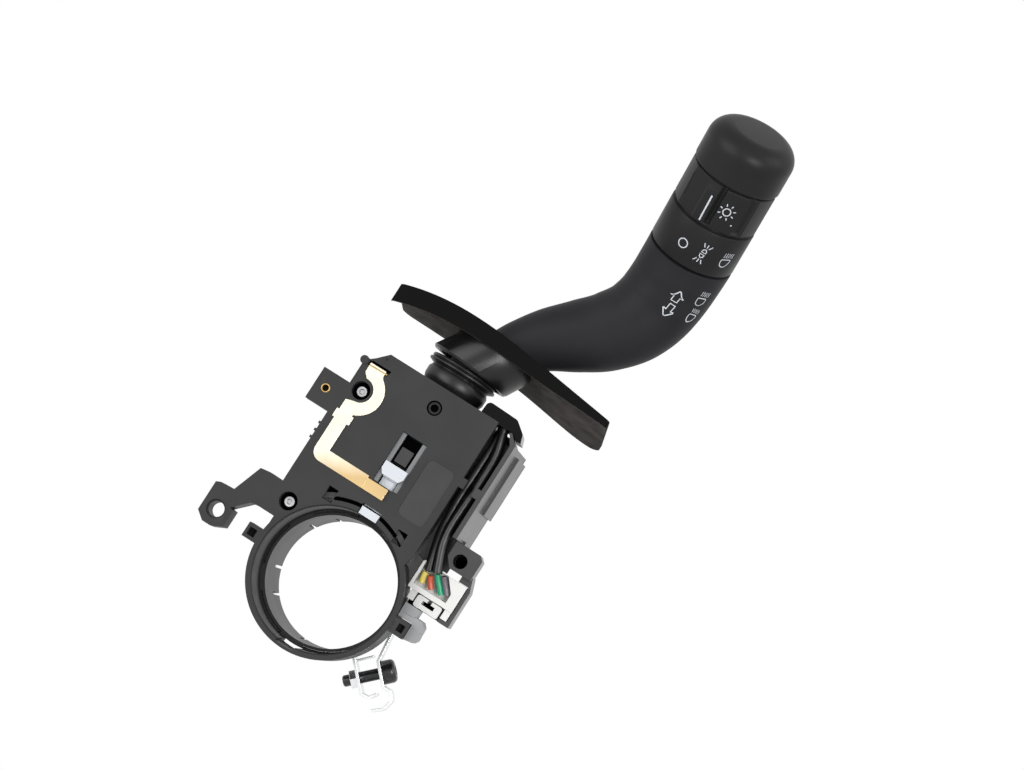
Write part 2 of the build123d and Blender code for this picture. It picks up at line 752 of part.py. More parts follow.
# ---------------------------------------------------------------- horn contact strip
with BuildPart() as horn_contact_strip:
    with BuildSketch(Plane.XY.offset(plate_z)):
        with BuildLine():
            Polyline([(-24.6, 64.9), (-24.6, 61.5), (-23.0, 59.8)])
            ThreePointArc((-23.0, 59.8), (-18.7, 55.7), (-22.6, 51.8))
            Line((-22.6, 51.8), (-25.2, 51.0))
            Line((-25.2, 51.0), (-25.2, 47.3))
            Polyline([(-25.2, 47.3), (-26.0, 47.3), (-26.0, 44.3), (-25.2, 44.3), (-25.2, 33.6)])
            ThreePointArc((-25.2, 33.6), (-24.2, 31.0), (-21.6, 30.0))
            Polyline([(-21.6, 30.0), (1.8, 30.0), (1.8, 33.9), (-5.8, 33.9), (-5.8, 34.6), (-20.6, 34.6),
                      (-20.6, 44.3), (-19.8, 44.3), (-19.8, 47.3), (-20.5, 47.3), (-20.5, 47.8)])
            ThreePointArc((-20.5, 47.8), (-15.0, 54.6), (-18.4, 62.2))
            Polyline([(-18.4, 62.2), (-18.9, 63.0), (-18.9, 64.9), (-24.6, 64.9)])
        make_face()
    extrude(amount=strip_t)
    # bent tail into the plate and raised contact tip
    with BuildSketch(Plane.XY.offset(plate_z + strip_t)):
        with Locations((-21.75, 64.65)):
            Rectangle(5.7, strip_t)
    extrude(amount=-(plate_t + strip_t - 0.1))
    with BuildSketch(Plane.YZ.offset(-5.8)):
        with Locations((31.95, plate_z + strip_t + 0.25)):
            Rectangle(3.9, 0.5)
    extrude(amount=7.6)
horn_contact_strip.part.label = "horn_contact_strip"
export_step(horn_contact_strip.part, "parts/horn_contact_strip.step")

# ---------------------------------------------------------------- cable connector
with BuildPart() as connector_housing:
    with BuildSketch(Plane.XY.offset(connector_rear)):
        with Locations((connector_cx, connector_cy)):
            Rectangle(connector_w, connector_h)
    extrude(amount=connector_front - connector_rear)
    # mating socket, open to the rear
    with BuildSketch(Plane.XY.offset(connector_rear)):
        with Locations((connector_cx, connector_cy)):
            Rectangle(connector_w - 2 * connector_wall, connector_h - 2 * connector_wall)
    extrude(amount=connector_web - connector_rear - 1.5, mode=Mode.SUBTRACT)
    # wire side, open to the front
    with BuildSketch(Plane.XY.offset(connector_front)):
        with BuildLine():
            Polyline([(connector_left + 0.9, connector_low + 1.7),
                      (connector_right - 3.2, connector_low + 1.7),
                      (connector_right - 3.2, connector_low + 4.8),
                      (connector_cx + 0.4, connector_high + 1.0),
                      (connector_left + 0.9, connector_high + 1.0)], close=True)
        make_face()
    extrude(amount=connector_web - connector_front, mode=Mode.SUBTRACT)
    with BuildSketch(Plane.XY.offset(connector_front - 0.5)):
        with Locations((connector_left + 2.7, connector_low - 1.5),
                       (connector_right - 1.2, connector_low - 1.5)):
            Rectangle(2.2, 3.4)
    extrude(amount=-9.0)
connector_housing.part.label = "connector_housing"
export_step(connector_housing.part, "parts/connector_housing.step")
with BuildPart() as connector_latch:
    with BuildSketch(Plane.XY.offset(connector_front - 1.0)):
        with Locations((latch_x, connector_low - 2.3)):
            RectangleRounded(latch_width, latch_t, 0.8)
        with Locations((latch_x, connector_low - 0.8)):
            Rectangle(1.4, 1.6, mode=Mode.SUBTRACT)
        with Locations((latch_x, connector_low - 2.1)):
            Rectangle(4.4, 1.3, mode=Mode.SUBTRACT)
    extrude(amount=-8.0)
    with BuildSketch(Plane.XY.offset(connector_front - 7.0)):
        with Locations((latch_x, connector_low - 0.5)):
            Rectangle(latch_width, 0.96)
    extrude(amount=-2.0)
connector_latch.part.label = "connector_latch"
export_step(connector_latch.part, "parts/connector_latch.step")
with BuildPart() as connector_pins:
    with BuildSketch(Plane.XY.offset(connector_web - 1.5 - pin_length)):
        with GridLocations(pin_pitch, 1.0, pin_count, 1):
            with Locations((connector_cx, connector_cy)):
                Rectangle(pin_side, pin_side)
    extrude(amount=pin_length)
connector_pins.part.label = "connector_pins"
export_step(connector_pins.part, "parts/connector_pins.step")

# ---------------------------------------------------------------- sleeves and wires


def tube(route, radius):
    """Round cord along straight runs joined by tangent arcs as large as the runs allow."""
    points = [Vector(*point) for point in route]
    radii = []
    for before, here, after in zip(points, points[1:], points[2:]):
        turn = math.radians((here - before).get_angle(after - here))
        run = min((here - before).length, (after - here).length)
        radii.append(cord_bend * run / math.tan(turn / 2))
    with BuildPart() as cord:
        with BuildLine() as path:
            FilletPolyline(points, radius=radii)
        start = Plane(origin=points[0], z_dir=points[1] - points[0])
        with BuildSketch(start):
            Circle(radius)
        sweep(path=path.line)
    return cord.part


cable_routes = {
    "cable_sleeve_left": [(25.3, 19.5, 10.7), (23.4, 25.4, 10.2), (21.7, 32.4, 9.8), (20.9, 43.0, 9.2),
                          (21.0, 53.6, 8.8), (21.2, 62.5, 8.4), (20.9, 68.4, 8.1), (20.0, 72.4, 7.8)],
    "cable_sleeve_right": [(28.2, 20.3, 12.9), (26.2, 24.8, 12.9), (24.5, 29.2, 12.7), (23.7, 34.8, 12.4),
                           (23.9, 43.5, 12.0), (24.2, 53.0, 11.8), (24.0, 61.0, 11.7), (22.2, 67.4, 11.6),
                           (20.6, 72.2, 11.4)],
}
for name, route in cable_routes.items():
    cable = tube(route, cable_sleeve_r)
    cable.label = name
    export_step(cable, "parts/" + name + ".step")
wire_routes = {
    "wire_yellow": [(24.6, 18.9, 9.9), (24.7, 17.2, 9.7), (25.2, 15.2, 9.4)],
    "wire_red": [(26.6, 18.7, 10.2), (27.3, 17.0, 9.6), (28.9, 15.0, 9.2)],
    "wire_green": [(28.1, 20.1, 10.4), (29.9, 18.0, 9.6), (32.5, 15.2, 9.2)],
    "wire_grey": [(30.2, 20.7, 10.6), (32.2, 18.4, 9.6), (34.3, 16.0, 9.2)],
}
for name, route in wire_routes.items():
    cable = tube(route, wire_r)
    cable.label = name
    export_step(cable, "parts/" + name + ".step")

# ---------------------------------------------------------------- cable hood
with BuildPart() as cable_hood:
    with BuildSketch(Plane.XY.offset(hood_front)):
        with BuildLine():
            hood_curve = FilletPolyline([(body_right - 6.4, body_high + 0.2),
                                         (body_right - 6.1, body_high + 5.0),
                                         (outer_right - 4.1, body_high + 4.6),
                                         (outer_right - 0.3, body_high + 1.6),
                                         (outer_right + 0.7, channel_high + 1.8)], radius=hood_round)
            Polyline([hood_curve @ 1, (outer_right - 1.4, channel_high + 1.8),
                      (outer_right - 3.0, body_high + 0.2), hood_curve @ 0])
        make_face()
    extrude(amount=-(hood_front - hood_rear))
    with BuildSketch(Plane.XY.offset(hood_front - hood_t)):
        with BuildLine():
            Polyline([(body_right - 4.4, body_high), (body_right - 4.1, body_high + 3.5),
                      (outer_right - 4.9, body_high + 3.1), (outer_right - 1.5, body_high + 0.3),
                      (outer_right - 2.9, body_high - 0.7), (outer_right - 3.7, body_high)], close=True)
        make_face()
    extrude(amount=-(hood_front - hood_t - channel_floor), mode=Mode.SUBTRACT)
cable_hood.part.label = "cable_hood"
export_step(cable_hood.part, "parts/cable_hood.step")

# ---------------------------------------------------------------- retaining clip right of the ring
with BuildPart() as band_clip:
    with BuildSketch(Plane.XY.offset(plate_z - 3.0)):
        with BuildLine():
            Polyline([(ring_out - 0.1, 4.6), (ring_out + 3.6, 4.6), (ring_out + 5.4, 5.2),
                      (ring_out + 7.6, 5.1),
                      (ring_out + 8.8, 3.8), (ring_out + 9.1, -0.8), (ring_out + 8.2, -2.1),
                      (ring_out + 5.2, -2.6), (ring_out + 5.2, 2.9), (ring_out - 0.1, 2.9)], close=True)
        make_face()
    extrude(amount=-12.0)
    with BuildSketch(Plane.XY.offset(plate_z - 4.0)):
        with Locations((ring_out + 2.4, 6.0)):
            Rectangle(5.4, 3.4)
    extrude(amount=-10.0)
band_clip.part.label = "band_clip"
export_step(band_clip.part, "parts/band_clip.step")

# ---------------------------------------------------------------- cancelling plunger with guide and spring
with BuildPart() as plunger_guide:
    with BuildSketch(Plane.XY.offset(plate_z - 0.7)):
        with Locations((window_x - window_half + 0.8, 43.1), (window_x + window_half - 0.8, 43.1)):
            Rectangle(1.55, 17.6)
    extrude(amount=-2.4)
plunger_guide.part.label = "plunger_guide"
export_step(plunger_guide.part, "parts/plunger_guide.step")
with BuildPart() as cancel_plunger:
    with BuildSketch(Plane.XY.offset(plate_back - 0.4)):
        with BuildLine():
            Polyline([(plunger_mid - 2.5, plunger_head_high), (plunger_mid - 2.5, ring_out + 2.8),
                      (nose_x - 3.2, ring_out + 1.6), (nose_x - 3.2, plunger_tip + 1.0),
                      (nose_x - 2.4, plunger_tip),
                      (nose_x + 2.4, plunger_tip), (nose_x + 3.2, plunger_tip + 1.0),
                      (nose_x + 3.2, ring_out + 1.6),
                      (plunger_mid + 2.5, ring_out + 2.8), (plunger_mid + 2.5, plunger_head_high)],
                      close=True)
        make_face()
    extrude(amount=-3.4)
    with BuildSketch(Plane.XY.offset(nose_top)):
        with Locations((nose_x, plunger_tip + 1.3)):
            Rectangle(plunger_nose, 2.6)
    extrude(amount=-(nose_top - plate_back + 1.0))
    with BuildSketch(Plane.XY.offset(plate_back - 0.4)):
        with Locations((plunger_mid, (plunger_head_high + tongue_low) / 2)):
            Rectangle(plunger_tongue, plunger_head_high - tongue_low)
    extrude(amount=1.4)
    with BuildSketch(Plane.XY.offset(plate_back + 0.4)):
        with BuildLine():
            Polyline([(plunger_mid - 2.4, 37.2), (plunger_mid + 2.4, 37.2),
                      (plunger_mid + 2.6, plunger_head_high),
                      (plunger_mid - 2.6, plunger_head_high)], close=True)
        make_face()
    extrude(amount=2.6)
    with BuildSketch(Plane.XY.offset(plate_z - 0.4)):
        with BuildLine():
            Polyline([(plunger_mid - 2.9, plunger_head_low - 0.6),
                      (plunger_mid + 2.9, plunger_head_low - 0.6),
                      (plunger_mid + 4.0, plunger_head_low + 1.0), (plunger_mid + 4.0, plunger_head_high),
                      (plunger_mid - 4.0, plunger_head_high),
                      (plunger_mid - 4.0, plunger_head_low + 1.0)], close=True)
        make_face()
    extrude(amount=1.4)
    with BuildSketch(Plane.XY.offset(plate_back - 3.8)):
        with Locations((plunger_mid, 35.2)):
            Rectangle(3.0, 1.6)
    extrude(amount=-3.0)
cancel_plunger.part.label = "cancel_plunger"
export_step(cancel_plunger.part, "parts/cancel_plunger.step")


def coil(centre, direction, length, coil_r, turns, wire):
    """Compression spring from centre along direction, with a square wire."""
    with BuildPart() as spring:
        with BuildLine():
            helix = Helix(pitch=(length - wire) / turns, height=length - wire, radius=coil_r)
        with BuildSketch(Plane(origin=helix @ 0, z_dir=helix % 0)):
            Rectangle(wire, wire)
        sweep(path=helix, is_frenet=True)
    place = Plane(origin=Vector(*centre) + Vector(*direction) * (wire / 2), z_dir=direction)
    return place.location * spring.part


# ---------------------------------------------------------------- turn yoke
with BuildPart() as turn_yoke:
    with BuildSketch(Plane.XY.offset(yoke_low)):
        with BuildLine():
            Polyline([(-cheek_out, yoke_front), (cheek_out, yoke_front),
                      (cheek_out, yoke_back - yoke_corner),
                      (cheek_out / 3, yoke_back), (-cheek_out / 3, yoke_back),
                      (-cheek_out, yoke_back - yoke_corner)],
                     close=True)
        make_face()
    extrude(amount=yoke_top - yoke_low)
    with BuildSketch(Plane.XY.offset(yoke_low + cheek_wall)):
        with Locations((0, (yoke_back + yoke_front + 1.8) / 2 + 2.0)):
            Rectangle(2 * cheek_half, yoke_back - yoke_front - 1.8 + 4.0)
    extrude(amount=yoke_top - yoke_low - 2 * cheek_wall, mode=Mode.SUBTRACT)
    with BuildSketch(Plane.XY.offset(lever_z - nose_height / 2)):
        with Locations((0, (nose_tip + yoke_front + 0.2) / 2)):
            Rectangle(2 * nose_half, yoke_front + 0.2 - nose_tip)
    extrude(amount=nose_height)
    # cam lug behind the plunger
    with BuildSketch(Plane.XY.offset(lever_z + 4.0)):
        with Locations(pivot):
            Circle(lug_radius)
        with Locations((plunger_mid, slot_pin_y)):
            Rectangle(5.0, 14.0, mode=Mode.INTERSECT)
        with Locations((plunger_mid, 45.8)):
            Rectangle(5.0, 5.6)
        with Locations((plunger_mid, 49.6)):
            Rectangle(1.2, 4.0)
    extrude(amount=plate_back - 0.7 - lever_z - 4.0)
    with BuildSketch(Plane.XY.offset(lever_z + 4.0)):
        with Locations((plunger_mid, 50.0)):
            Rectangle(5.0, 4.0)
    extrude(amount=4.0)
    with BuildSketch(Plane.XY.offset(yoke_low + 1.0)):
        with Locations((0, slot_pin_y)):
            Circle(slot_pin_r)
    extrude(amount=4.0)
    with BuildSketch(Plane.XY.offset(lever_z - 4.5)):
        with Locations((0, slot_pin_y)):
            Circle(slot_pin_r)
    extrude(amount=slot_pin_end - lever_z + 4.5)
    # pivots above and below
    with BuildSketch(Plane.XY.offset(yoke_top)):
        with Locations(pivot):
            Circle(pivot_top_r)
    extrude(amount=plate_z - 0.5 - yoke_top)
    with BuildSketch(Plane.XY.offset(plate_z - 0.5)):
        with Locations(pivot):
            Circle(1.2)
    extrude(amount=-2.5, mode=Mode.SUBTRACT)
    with BuildSketch(Plane.XY.offset(yoke_low)):
        with Locations(pivot):
            Circle(pivot_low_r)
    extrude(amount=cover_back + 0.4 - yoke_low)
    # rails for the dip slider on the left cheek
    with BuildSketch(Plane.XY.offset(lever_z - 5.5)):
        with Locations((-cheek_out - 1.0, dip_stud_y - 2.75), (-cheek_out - 1.0, dip_stud_y + 2.75)):
            Rectangle(2.0, 1.0)
    extrude(amount=11.0)
    # pocket for the turn detent, bore for the tilt pin, window for the dip stud, dip track
    with BuildSketch(Plane.XZ.offset(-nose_tip + 1.0)):
        with Locations((0, lever_z)):
            Circle(detent_pin_r + seat_gap)
    extrude(amount=-(pocket_end - nose_tip + 1.0), mode=Mode.SUBTRACT)
    with BuildSketch(Plane.YZ.offset(-cheek_out - 3.0)):
        with Locations((pivot_y, lever_z)):
            Circle(tilt_pin_r)
    extrude(amount=2 * cheek_out + 6.0, mode=Mode.SUBTRACT)
    with BuildSketch(Plane.YZ.offset(-cheek_out - 0.5)):
        with Locations((dip_stud_y, lever_z)):
            Rectangle(2 * dip_stud_r + 1.0, 2 * dip_stud_r + 3.2)
    extrude(amount=cheek_wall + 1.0, mode=Mode.SUBTRACT)
    with BuildSketch(Plane.YZ.offset(-2.2)):
        with Locations((pivot_y, lever_z)):
            Circle(dip_radius + detent_gap)
        with Locations((53.0, lever_z)):
            Rectangle(6.0, 8.0, mode=Mode.INTERSECT)
    extrude(amount=4.4, mode=Mode.SUBTRACT)
turn_yoke.part.label = "turn_yoke"
export_step(turn_yoke.part, "parts/turn_yoke.step")
with BuildPart() as tilt_pin:
    with BuildSketch(Plane.YZ.offset(-cheek_out)):
        with Locations((pivot_y, lever_z)):
            Circle(tilt_pin_r)
    extrude(amount=2 * cheek_out)
    chamfer(tilt_pin.edges().filter_by(GeomType.CIRCLE), 0.3)
tilt_pin.part.label = "tilt_pin"
export_step(tilt_pin.part, "parts/tilt_pin.step")

# ---------------------------------------------------------------- turn detent
with BuildPart() as turn_detent_pin:
    with BuildSketch(Plane.YZ):
        with BuildLine():
            Polyline([(pin_seat, lever_z), (pin_seat, lever_z + detent_pin_r),
                      (tip_y + detent_pin_r, lever_z + detent_pin_r)])
            CenterArc((tip_y + detent_pin_r, lever_z), detent_pin_r, 90, 90)
            Line((tip_y, lever_z), (pin_seat, lever_z))
        make_face()
    revolve(axis=Axis((0, 0, lever_z), (0, 1, 0)))
turn_detent_pin.part.label = "turn_detent_pin"
export_step(turn_detent_pin.part, "parts/turn_detent_pin.step")
turn_detent_spring = coil((0, pin_seat + press_gap, lever_z), (0, 1, 0),
                          pocket_end - pin_seat - 2 * press_gap,
                          1.3, 3, 0.35)
turn_detent_spring.label = "turn_detent_spring"
export_step(turn_detent_spring, "parts/turn_detent_spring.step")
with BuildPart() as detent_track:
    with BuildSketch(Plane.XY.offset(cover_front)):
        with Locations((0, 38.4)):
            Rectangle(19.0, 7.6)
        with Locations(pivot):
            Circle(detent_radius + detent_gap, mode=Mode.SUBTRACT)
    extrude(amount=lever_z + 4.4 - cover_front)
    with BuildSketch(Plane.XY.offset(lever_z - 3.0)):
        for angle in (-90 - notch_angle, -90, -90 + notch_angle):
            notch = math.radians(angle)
            with Locations((detent_radius * math.cos(notch), pivot_y + detent_radius * math.sin(notch))):
                Circle(1.3)
    extrude(amount=6.0, mode=Mode.SUBTRACT)
detent_track.part.label = "detent_track"
export_step(detent_track.part, "parts/detent_track.step")

# ---------------------------------------------------------------- contact board and turn slider
with BuildPart() as contact_board:
    with BuildSketch(Plane.XY.offset(cover_front)):
        with Locations((board_x, board_y)):
            Rectangle(board_w, board_h)
    extrude(amount=board_t)
contact_board.part.label = "contact_board"
export_step(contact_board.part, "parts/contact_board.step")
with BuildPart() as fixed_contacts:
    with BuildSketch(Plane.XY.offset(cover_front + board_t)):
        with GridLocations(10.5, 3.0, 3, 3):
            with Locations((board_x, board_y)):
                Rectangle(9.5, 1.6)
    extrude(amount=contact_t)
fixed_contacts.part.label = "fixed_contacts"
export_step(fixed_contacts.part, "parts/fixed_contacts.step")
with BuildPart() as turn_contact_slider:
    with BuildSketch(Plane.XY.offset(slider_low)):
        with Locations((0, slot_pin_y)):
            RectangleRounded(slider_w, slider_h, 1.0)
            SlotCenterToCenter(2.4, 2 * (slot_pin_r + 0.2), rotation=90, mode=Mode.SUBTRACT)
    extrude(amount=slider_t)
turn_contact_slider.part.label = "turn_contact_slider"
export_step(turn_contact_slider.part, "parts/turn_contact_slider.step")
plunger_spring = coil((plunger_mid, ring_out + 2.6, plate_back - 5.3), (0, 1, 0),
                      window_low + 0.15 - ring_out - 2.6,
                      1.2, 4, 0.4)
plunger_spring.label = "plunger_spring"
export_step(plunger_spring, "parts/plunger_spring.step")

# ---------------------------------------------------------------- lever root and dip detent
with BuildPart() as lever_root:
    with BuildSketch(Plane.XY.offset(lever_z - root_half)):
        with Locations((0, (root_front + root_back) / 2)):
            Rectangle(2 * (cheek_half - run_gap), root_back - root_front)
    extrude(amount=2 * root_half)
    chamfer(lever_root.edges().filter_by(Axis.X).group_by(Axis.Y)[0], 1.6)
    with BuildSketch(lever_plane(root_back - 0.5)):
        Rectangle(10.4, 2 * root_half)
    extrude(amount=4.0)
    with BuildSketch(lever_plane(root_back + 2.6)):
        Circle(neck_shaft_r)
    extrude(amount=collar_low + 4.0 - root_back - 2.6)
    with BuildSketch(Plane.YZ.offset(-cheek_half - 1.0)):
        with Locations((pivot_y, lever_z)):
            Circle(tilt_pin_r + pin_gap)
    extrude(amount=2 * cheek_half + 2.0, mode=Mode.SUBTRACT)
    with BuildSketch(lever_plane(root_front - 1.0)):
        Circle(dip_pin_r + seat_gap)
    extrude(amount=dip_pocket_end - root_front + 1.0, mode=Mode.SUBTRACT)
    with BuildSketch(lever_plane(pivot_y + tilt_pin_r + 3.0)):
        Circle(3.0)
    extrude(amount=20.0, mode=Mode.SUBTRACT)
    with BuildSketch(Plane.YZ.offset(-cheek_half + run_gap + 1.0)):
        with Locations((dip_stud_y, lever_z)):
            Circle(dip_stud_r)
    extrude(amount=-cheek_wall - run_gap - 3.0)
lever_root.part.label = "lever_root"
export_step(lever_root.part, "parts/lever_root.step")
with BuildPart() as dip_detent_pin:
    with BuildSketch(Plane.YZ):
        with BuildLine():
            Polyline([(dip_seat, lever_z), (dip_seat, lever_z + dip_pin_r),
                      (dip_tip + dip_pin_r, lever_z + dip_pin_r)])
            CenterArc((dip_tip + dip_pin_r, lever_z), dip_pin_r, 90, 90)
            Line((dip_tip, lever_z), (dip_seat, lever_z))
        make_face()
    revolve(axis=Axis((0, 0, lever_z), (0, 1, 0)))
dip_detent_pin.part.label = "dip_detent_pin"
export_step(dip_detent_pin.part, "parts/dip_detent_pin.step")
dip_detent_spring = coil((0, dip_seat + press_gap, lever_z), (0, 1, 0),
                         dip_pocket_end - dip_seat - 2 * press_gap,
                         0.9, 3, 0.35)
dip_detent_spring.label = "dip_detent_spring"
export_step(dip_detent_spring, "parts/dip_detent_spring.step")
with BuildPart() as dip_contact_slider:
    with BuildSketch(Plane.YZ.offset(-cheek_out - run_gap)):
        with Locations((dip_stud_y, lever_z)):
            Rectangle(4.0, 8.0)
            SlotCenterToCenter(0.7, 2 * (dip_stud_r + 0.12), mode=Mode.SUBTRACT)
    extrude(amount=-1.8)
dip_contact_slider.part.label = "dip_contact_slider"
export_step(dip_contact_slider.part, "parts/dip_contact_slider.step")

# ---------------------------------------------------------------- gaiter
gaiter_points = [
    (neck_r + neck_wall + seat_gap, body_high + 0.1),
    (gaiter_bulge_r - 0.9, body_high + 0.6),
    (gaiter_bulge_r, body_high + 3.0),
    (gaiter_bulge_r, body_high + 5.4),
    (gaiter_bulge_r - 0.8, body_high + 6.8),
    (gaiter_lip_r, body_high + 7.7),
    (gaiter_lip_r, body_high + 8.4),
    (gaiter_lip_r - 0.9, body_high + 8.7),
    (gaiter_lip_r - 0.3, body_high + 9.1),
    (gaiter_lip_r - 0.6, body_high + 9.9),
    (gaiter_bulge_r - 1.2, body_high + 10.1),
    (gaiter_bulge_r - 1.6, body_high + 7.2),
    (gaiter_bulge_r - 1.1, body_high + 5.4),
    (gaiter_bulge_r - 1.1, body_high + 3.4),
    (neck_r + neck_wall + seat_gap, body_high + 2.7),
]
with BuildPart() as gaiter:
    with BuildSketch(Plane.XY.offset(lever_z)):
        with BuildLine():
            Polyline(gaiter_points, close=True)
        make_face()
    revolve(axis=Axis((0, 0, lever_z), (0, 1, 0)))
gaiter.part.label = "gaiter"
export_step(gaiter.part, "parts/gaiter.step")

# ---------------------------------------------------------------- surface that the collar and lever seat on
def height_at(points, x):
    """Height of the run of straight lines through the points, at x."""
    for (x0, y0), (x1, y1) in zip(points, points[1:]):
        if x0 <= x <= x1:
            return y0 + (y1 - y0) * (x - x0) / (x1 - x0)
    return points[-1][1]


def beside_shield(shift, reach):
    """Solid between the shield's underside, moved by shift, and a level surface at reach."""
    spare = 3.0
    part_beyond = spare / (shield_front - shield_rear)
    with BuildPart(mode=Mode.PRIVATE) as beside:
        for level, top, other in ((shield_rear - spare, rear_top, front_top),
                                  (shield_front + spare, front_top, rear_top)):
            moved = [(x, y + part_beyond * (y - height_at(other, x)) - shield_t + shift) for x, y in top]
            with BuildSketch(Plane.XY.offset(level)):
                with BuildLine():
                    edge = Spline(*moved)
                    Polyline([edge @ 1, (shield_right, reach), (shield_left, reach), edge @ 0])
                make_face()
        loft(ruled=True)
    return beside.part


# ---------------------------------------------------------------- collar


def lean_plane(x, y, angle):
    """Plane across the lever at this place, its normal turned clockwise from +Y seen from the front."""
    turn = math.radians(angle)
    return Plane(origin=(x, y, lever_z), x_dir=(math.cos(turn), -math.sin(turn), 0),
                 z_dir=(math.sin(turn), math.cos(turn), 0))


with BuildPart() as lever_collar:
    with BuildSketch(lean_plane(1.1, collar_low, collar_lean)):
        Circle(collar_r - 0.5)
    with BuildSketch(lean_plane(1.3, collar_low + 0.8, collar_lean)):
        Circle(collar_r + 0.1)
    with BuildSketch(lean_plane(1.1 + collar_shift, collar_high, collar_lean)):
        Circle(collar_r - 0.2)
    loft(ruled=True)
    with BuildSketch(lean_plane(1.1 + collar_shift, collar_high, collar_lean)):
        Circle(collar_r - 0.2)
    extrude(amount=collar_reach)
    add(beside_shield(-0.05, 110.0), mode=Mode.SUBTRACT)
    with BuildSketch(lean_plane(1.05, collar_low - 0.1, collar_lean)):
        Circle(collar_r - collar_wall - 0.5)
    with BuildSketch(lean_plane(1.0 + 0.8 * collar_shift, collar_high - collar_wall, collar_lean)):
        Circle(collar_r - collar_wall - 0.6)
    loft(mode=Mode.SUBTRACT)
    with BuildSketch(lever_plane(collar_low + 4.05)):
        Circle(neck_shaft_r + 1.6)
    extrude(amount=collar_high - collar_low - 4.6)
lever_collar.part.label = "lever_collar"
export_step(lever_collar.part, "parts/lever_collar.step")

# ---------------------------------------------------------------- lever arm

def station_plane(station):
    """Plane square to the lever at one station."""
    x, y, z, heading, climb, _ = station
    turn = math.radians(heading)
    rise = math.radians(climb)
    across = Vector(math.cos(turn), -math.sin(turn), 0)
    along = Vector(math.sin(turn) * math.cos(rise), math.cos(turn) * math.cos(rise), math.sin(rise))
    return Plane(origin=(x, y, z), x_dir=across, z_dir=along)


with BuildPart() as lever_arm:
    for station in arm_stations:
        with BuildSketch(station_plane(station)):
            Circle(station[5])
    with BuildSketch(head_plane(0)):
        Circle(head_r)
    loft()
    for station in arm_stations[::2]:
        with BuildSketch(station_plane(station)):
            Circle(station[5] - lever_wall)
    with BuildSketch(head_plane(0)):
        Circle(head_r - lever_wall)
    loft(mode=Mode.SUBTRACT)
    add(beside_shield(0.0, 70.0), mode=Mode.SUBTRACT)
lever_arm.part.label = "lever_arm"
export_step(lever_arm.part, "parts/lever_arm.step")

# ---------------------------------------------------------------- shield
with BuildPart() as shield:
    for level, top in shield_levels:
        with BuildSketch(Plane.XY.offset(level)):
            with BuildLine():
                upper = Spline(*top)
                lower = Spline(*[(x, y - shield_t) for x, y in top])
                Line(upper @ 0, lower @ 0)
                Line(upper @ 1, lower @ 1)
            make_face()
    loft(ruled=True)
    # turned-down rim along the front, deep on the left and vanishing on the right
    with BuildSketch(Plane.XY.offset(shield_front)):
        with BuildLine():
            rim = Spline(*front_top)
            rim_low = Spline([rim @ 1 - (0.0, 1.9), (30.0, 88.0), (14.0, 87.6), (-2.0, 88.6),
                              (-14.0, 88.4),
                              (-24.0, 85.6), (shield_left, 84.6)])
            Line(rim @ 1, rim_low @ 0)
            Line(rim_low @ 1, rim @ 0)
        make_face()
    extrude(amount=-shield_rim)
    # rounded ends in plan
    with BuildSketch(Plane.XZ.offset(-120)):
        with Locations(((shield_left + shield_right) / 2, (shield_front + shield_rear) / 2)):
            RectangleRounded(shield_right - shield_left, shield_front - shield_rear, 4.0)
    extrude(amount=60, mode=Mode.INTERSECT)
    # opening for the lever
    for station in arm_stations[:6]:
        with BuildSketch(station_plane(station)):
            Circle(station[5] + 0.4)
    loft(mode=Mode.SUBTRACT)
shield.part.label = "shield"
export_step(shield.part, "parts/shield.step")

# ---------------------------------------------------------------- switch head
with BuildPart() as legend_ring:
    with BuildSketch(head_plane(0.15)):
        Circle(head_r - segment_step)
        Circle(spindle_r + pin_gap, mode=Mode.SUBTRACT)
    extrude(amount=legend_length - 0.3)
    with BuildSketch(head_plane(segment_gap)):
        Circle(head_r)
        Circle(head_r - 1.6, mode=Mode.SUBTRACT)
    extrude(amount=legend_length - 2 * segment_gap)
    chamfer(legend_ring.edges().filter_by(GeomType.CIRCLE).filter_by(lambda e: e.radius > head_r - 0.1),
            0.3)
    with BuildSketch(head_plane(0.0)):
        Circle(head_r - 2 * lever_wall)
        Circle(spindle_r + 3.0, mode=Mode.SUBTRACT)
    extrude(amount=legend_length - 2.0, mode=Mode.SUBTRACT)
legend_ring.part.label = "legend_ring"
export_step(legend_ring.part, "parts/legend_ring.step")
with BuildPart() as knob_grip:
    with BuildSketch(head_plane(grip_start)):
        Circle(head_r - segment_step)
        Circle(spindle_r, mode=Mode.SUBTRACT)
    extrude(amount=grip_length)
    with BuildSketch(head_plane(grip_start + segment_gap)):
        Circle(grip_r)
        Circle(head_r - 1.6, mode=Mode.SUBTRACT)
    extrude(amount=grip_length - segment_gap)
    # hollow flutes between the ribs, open towards the cap
    with BuildSketch(head_plane(grip_start + 2.2)):
        with PolarLocations(grip_r + flute_width / 2 - flute_depth, flute_count, start_angle=-90):
            SlotCenterToCenter(1.6, flute_width, rotation=90)
    extrude(amount=grip_length - 2.2, mode=Mode.SUBTRACT)
    with BuildSketch(head_plane(grip_start)):
        Circle(head_r - 2 * lever_wall)
        Circle(spindle_r + 3.0, mode=Mode.SUBTRACT)
    extrude(amount=grip_length - 2.0, mode=Mode.SUBTRACT)
knob_grip.part.label = "knob_grip"
export_step(knob_grip.part, "parts/knob_grip.step")
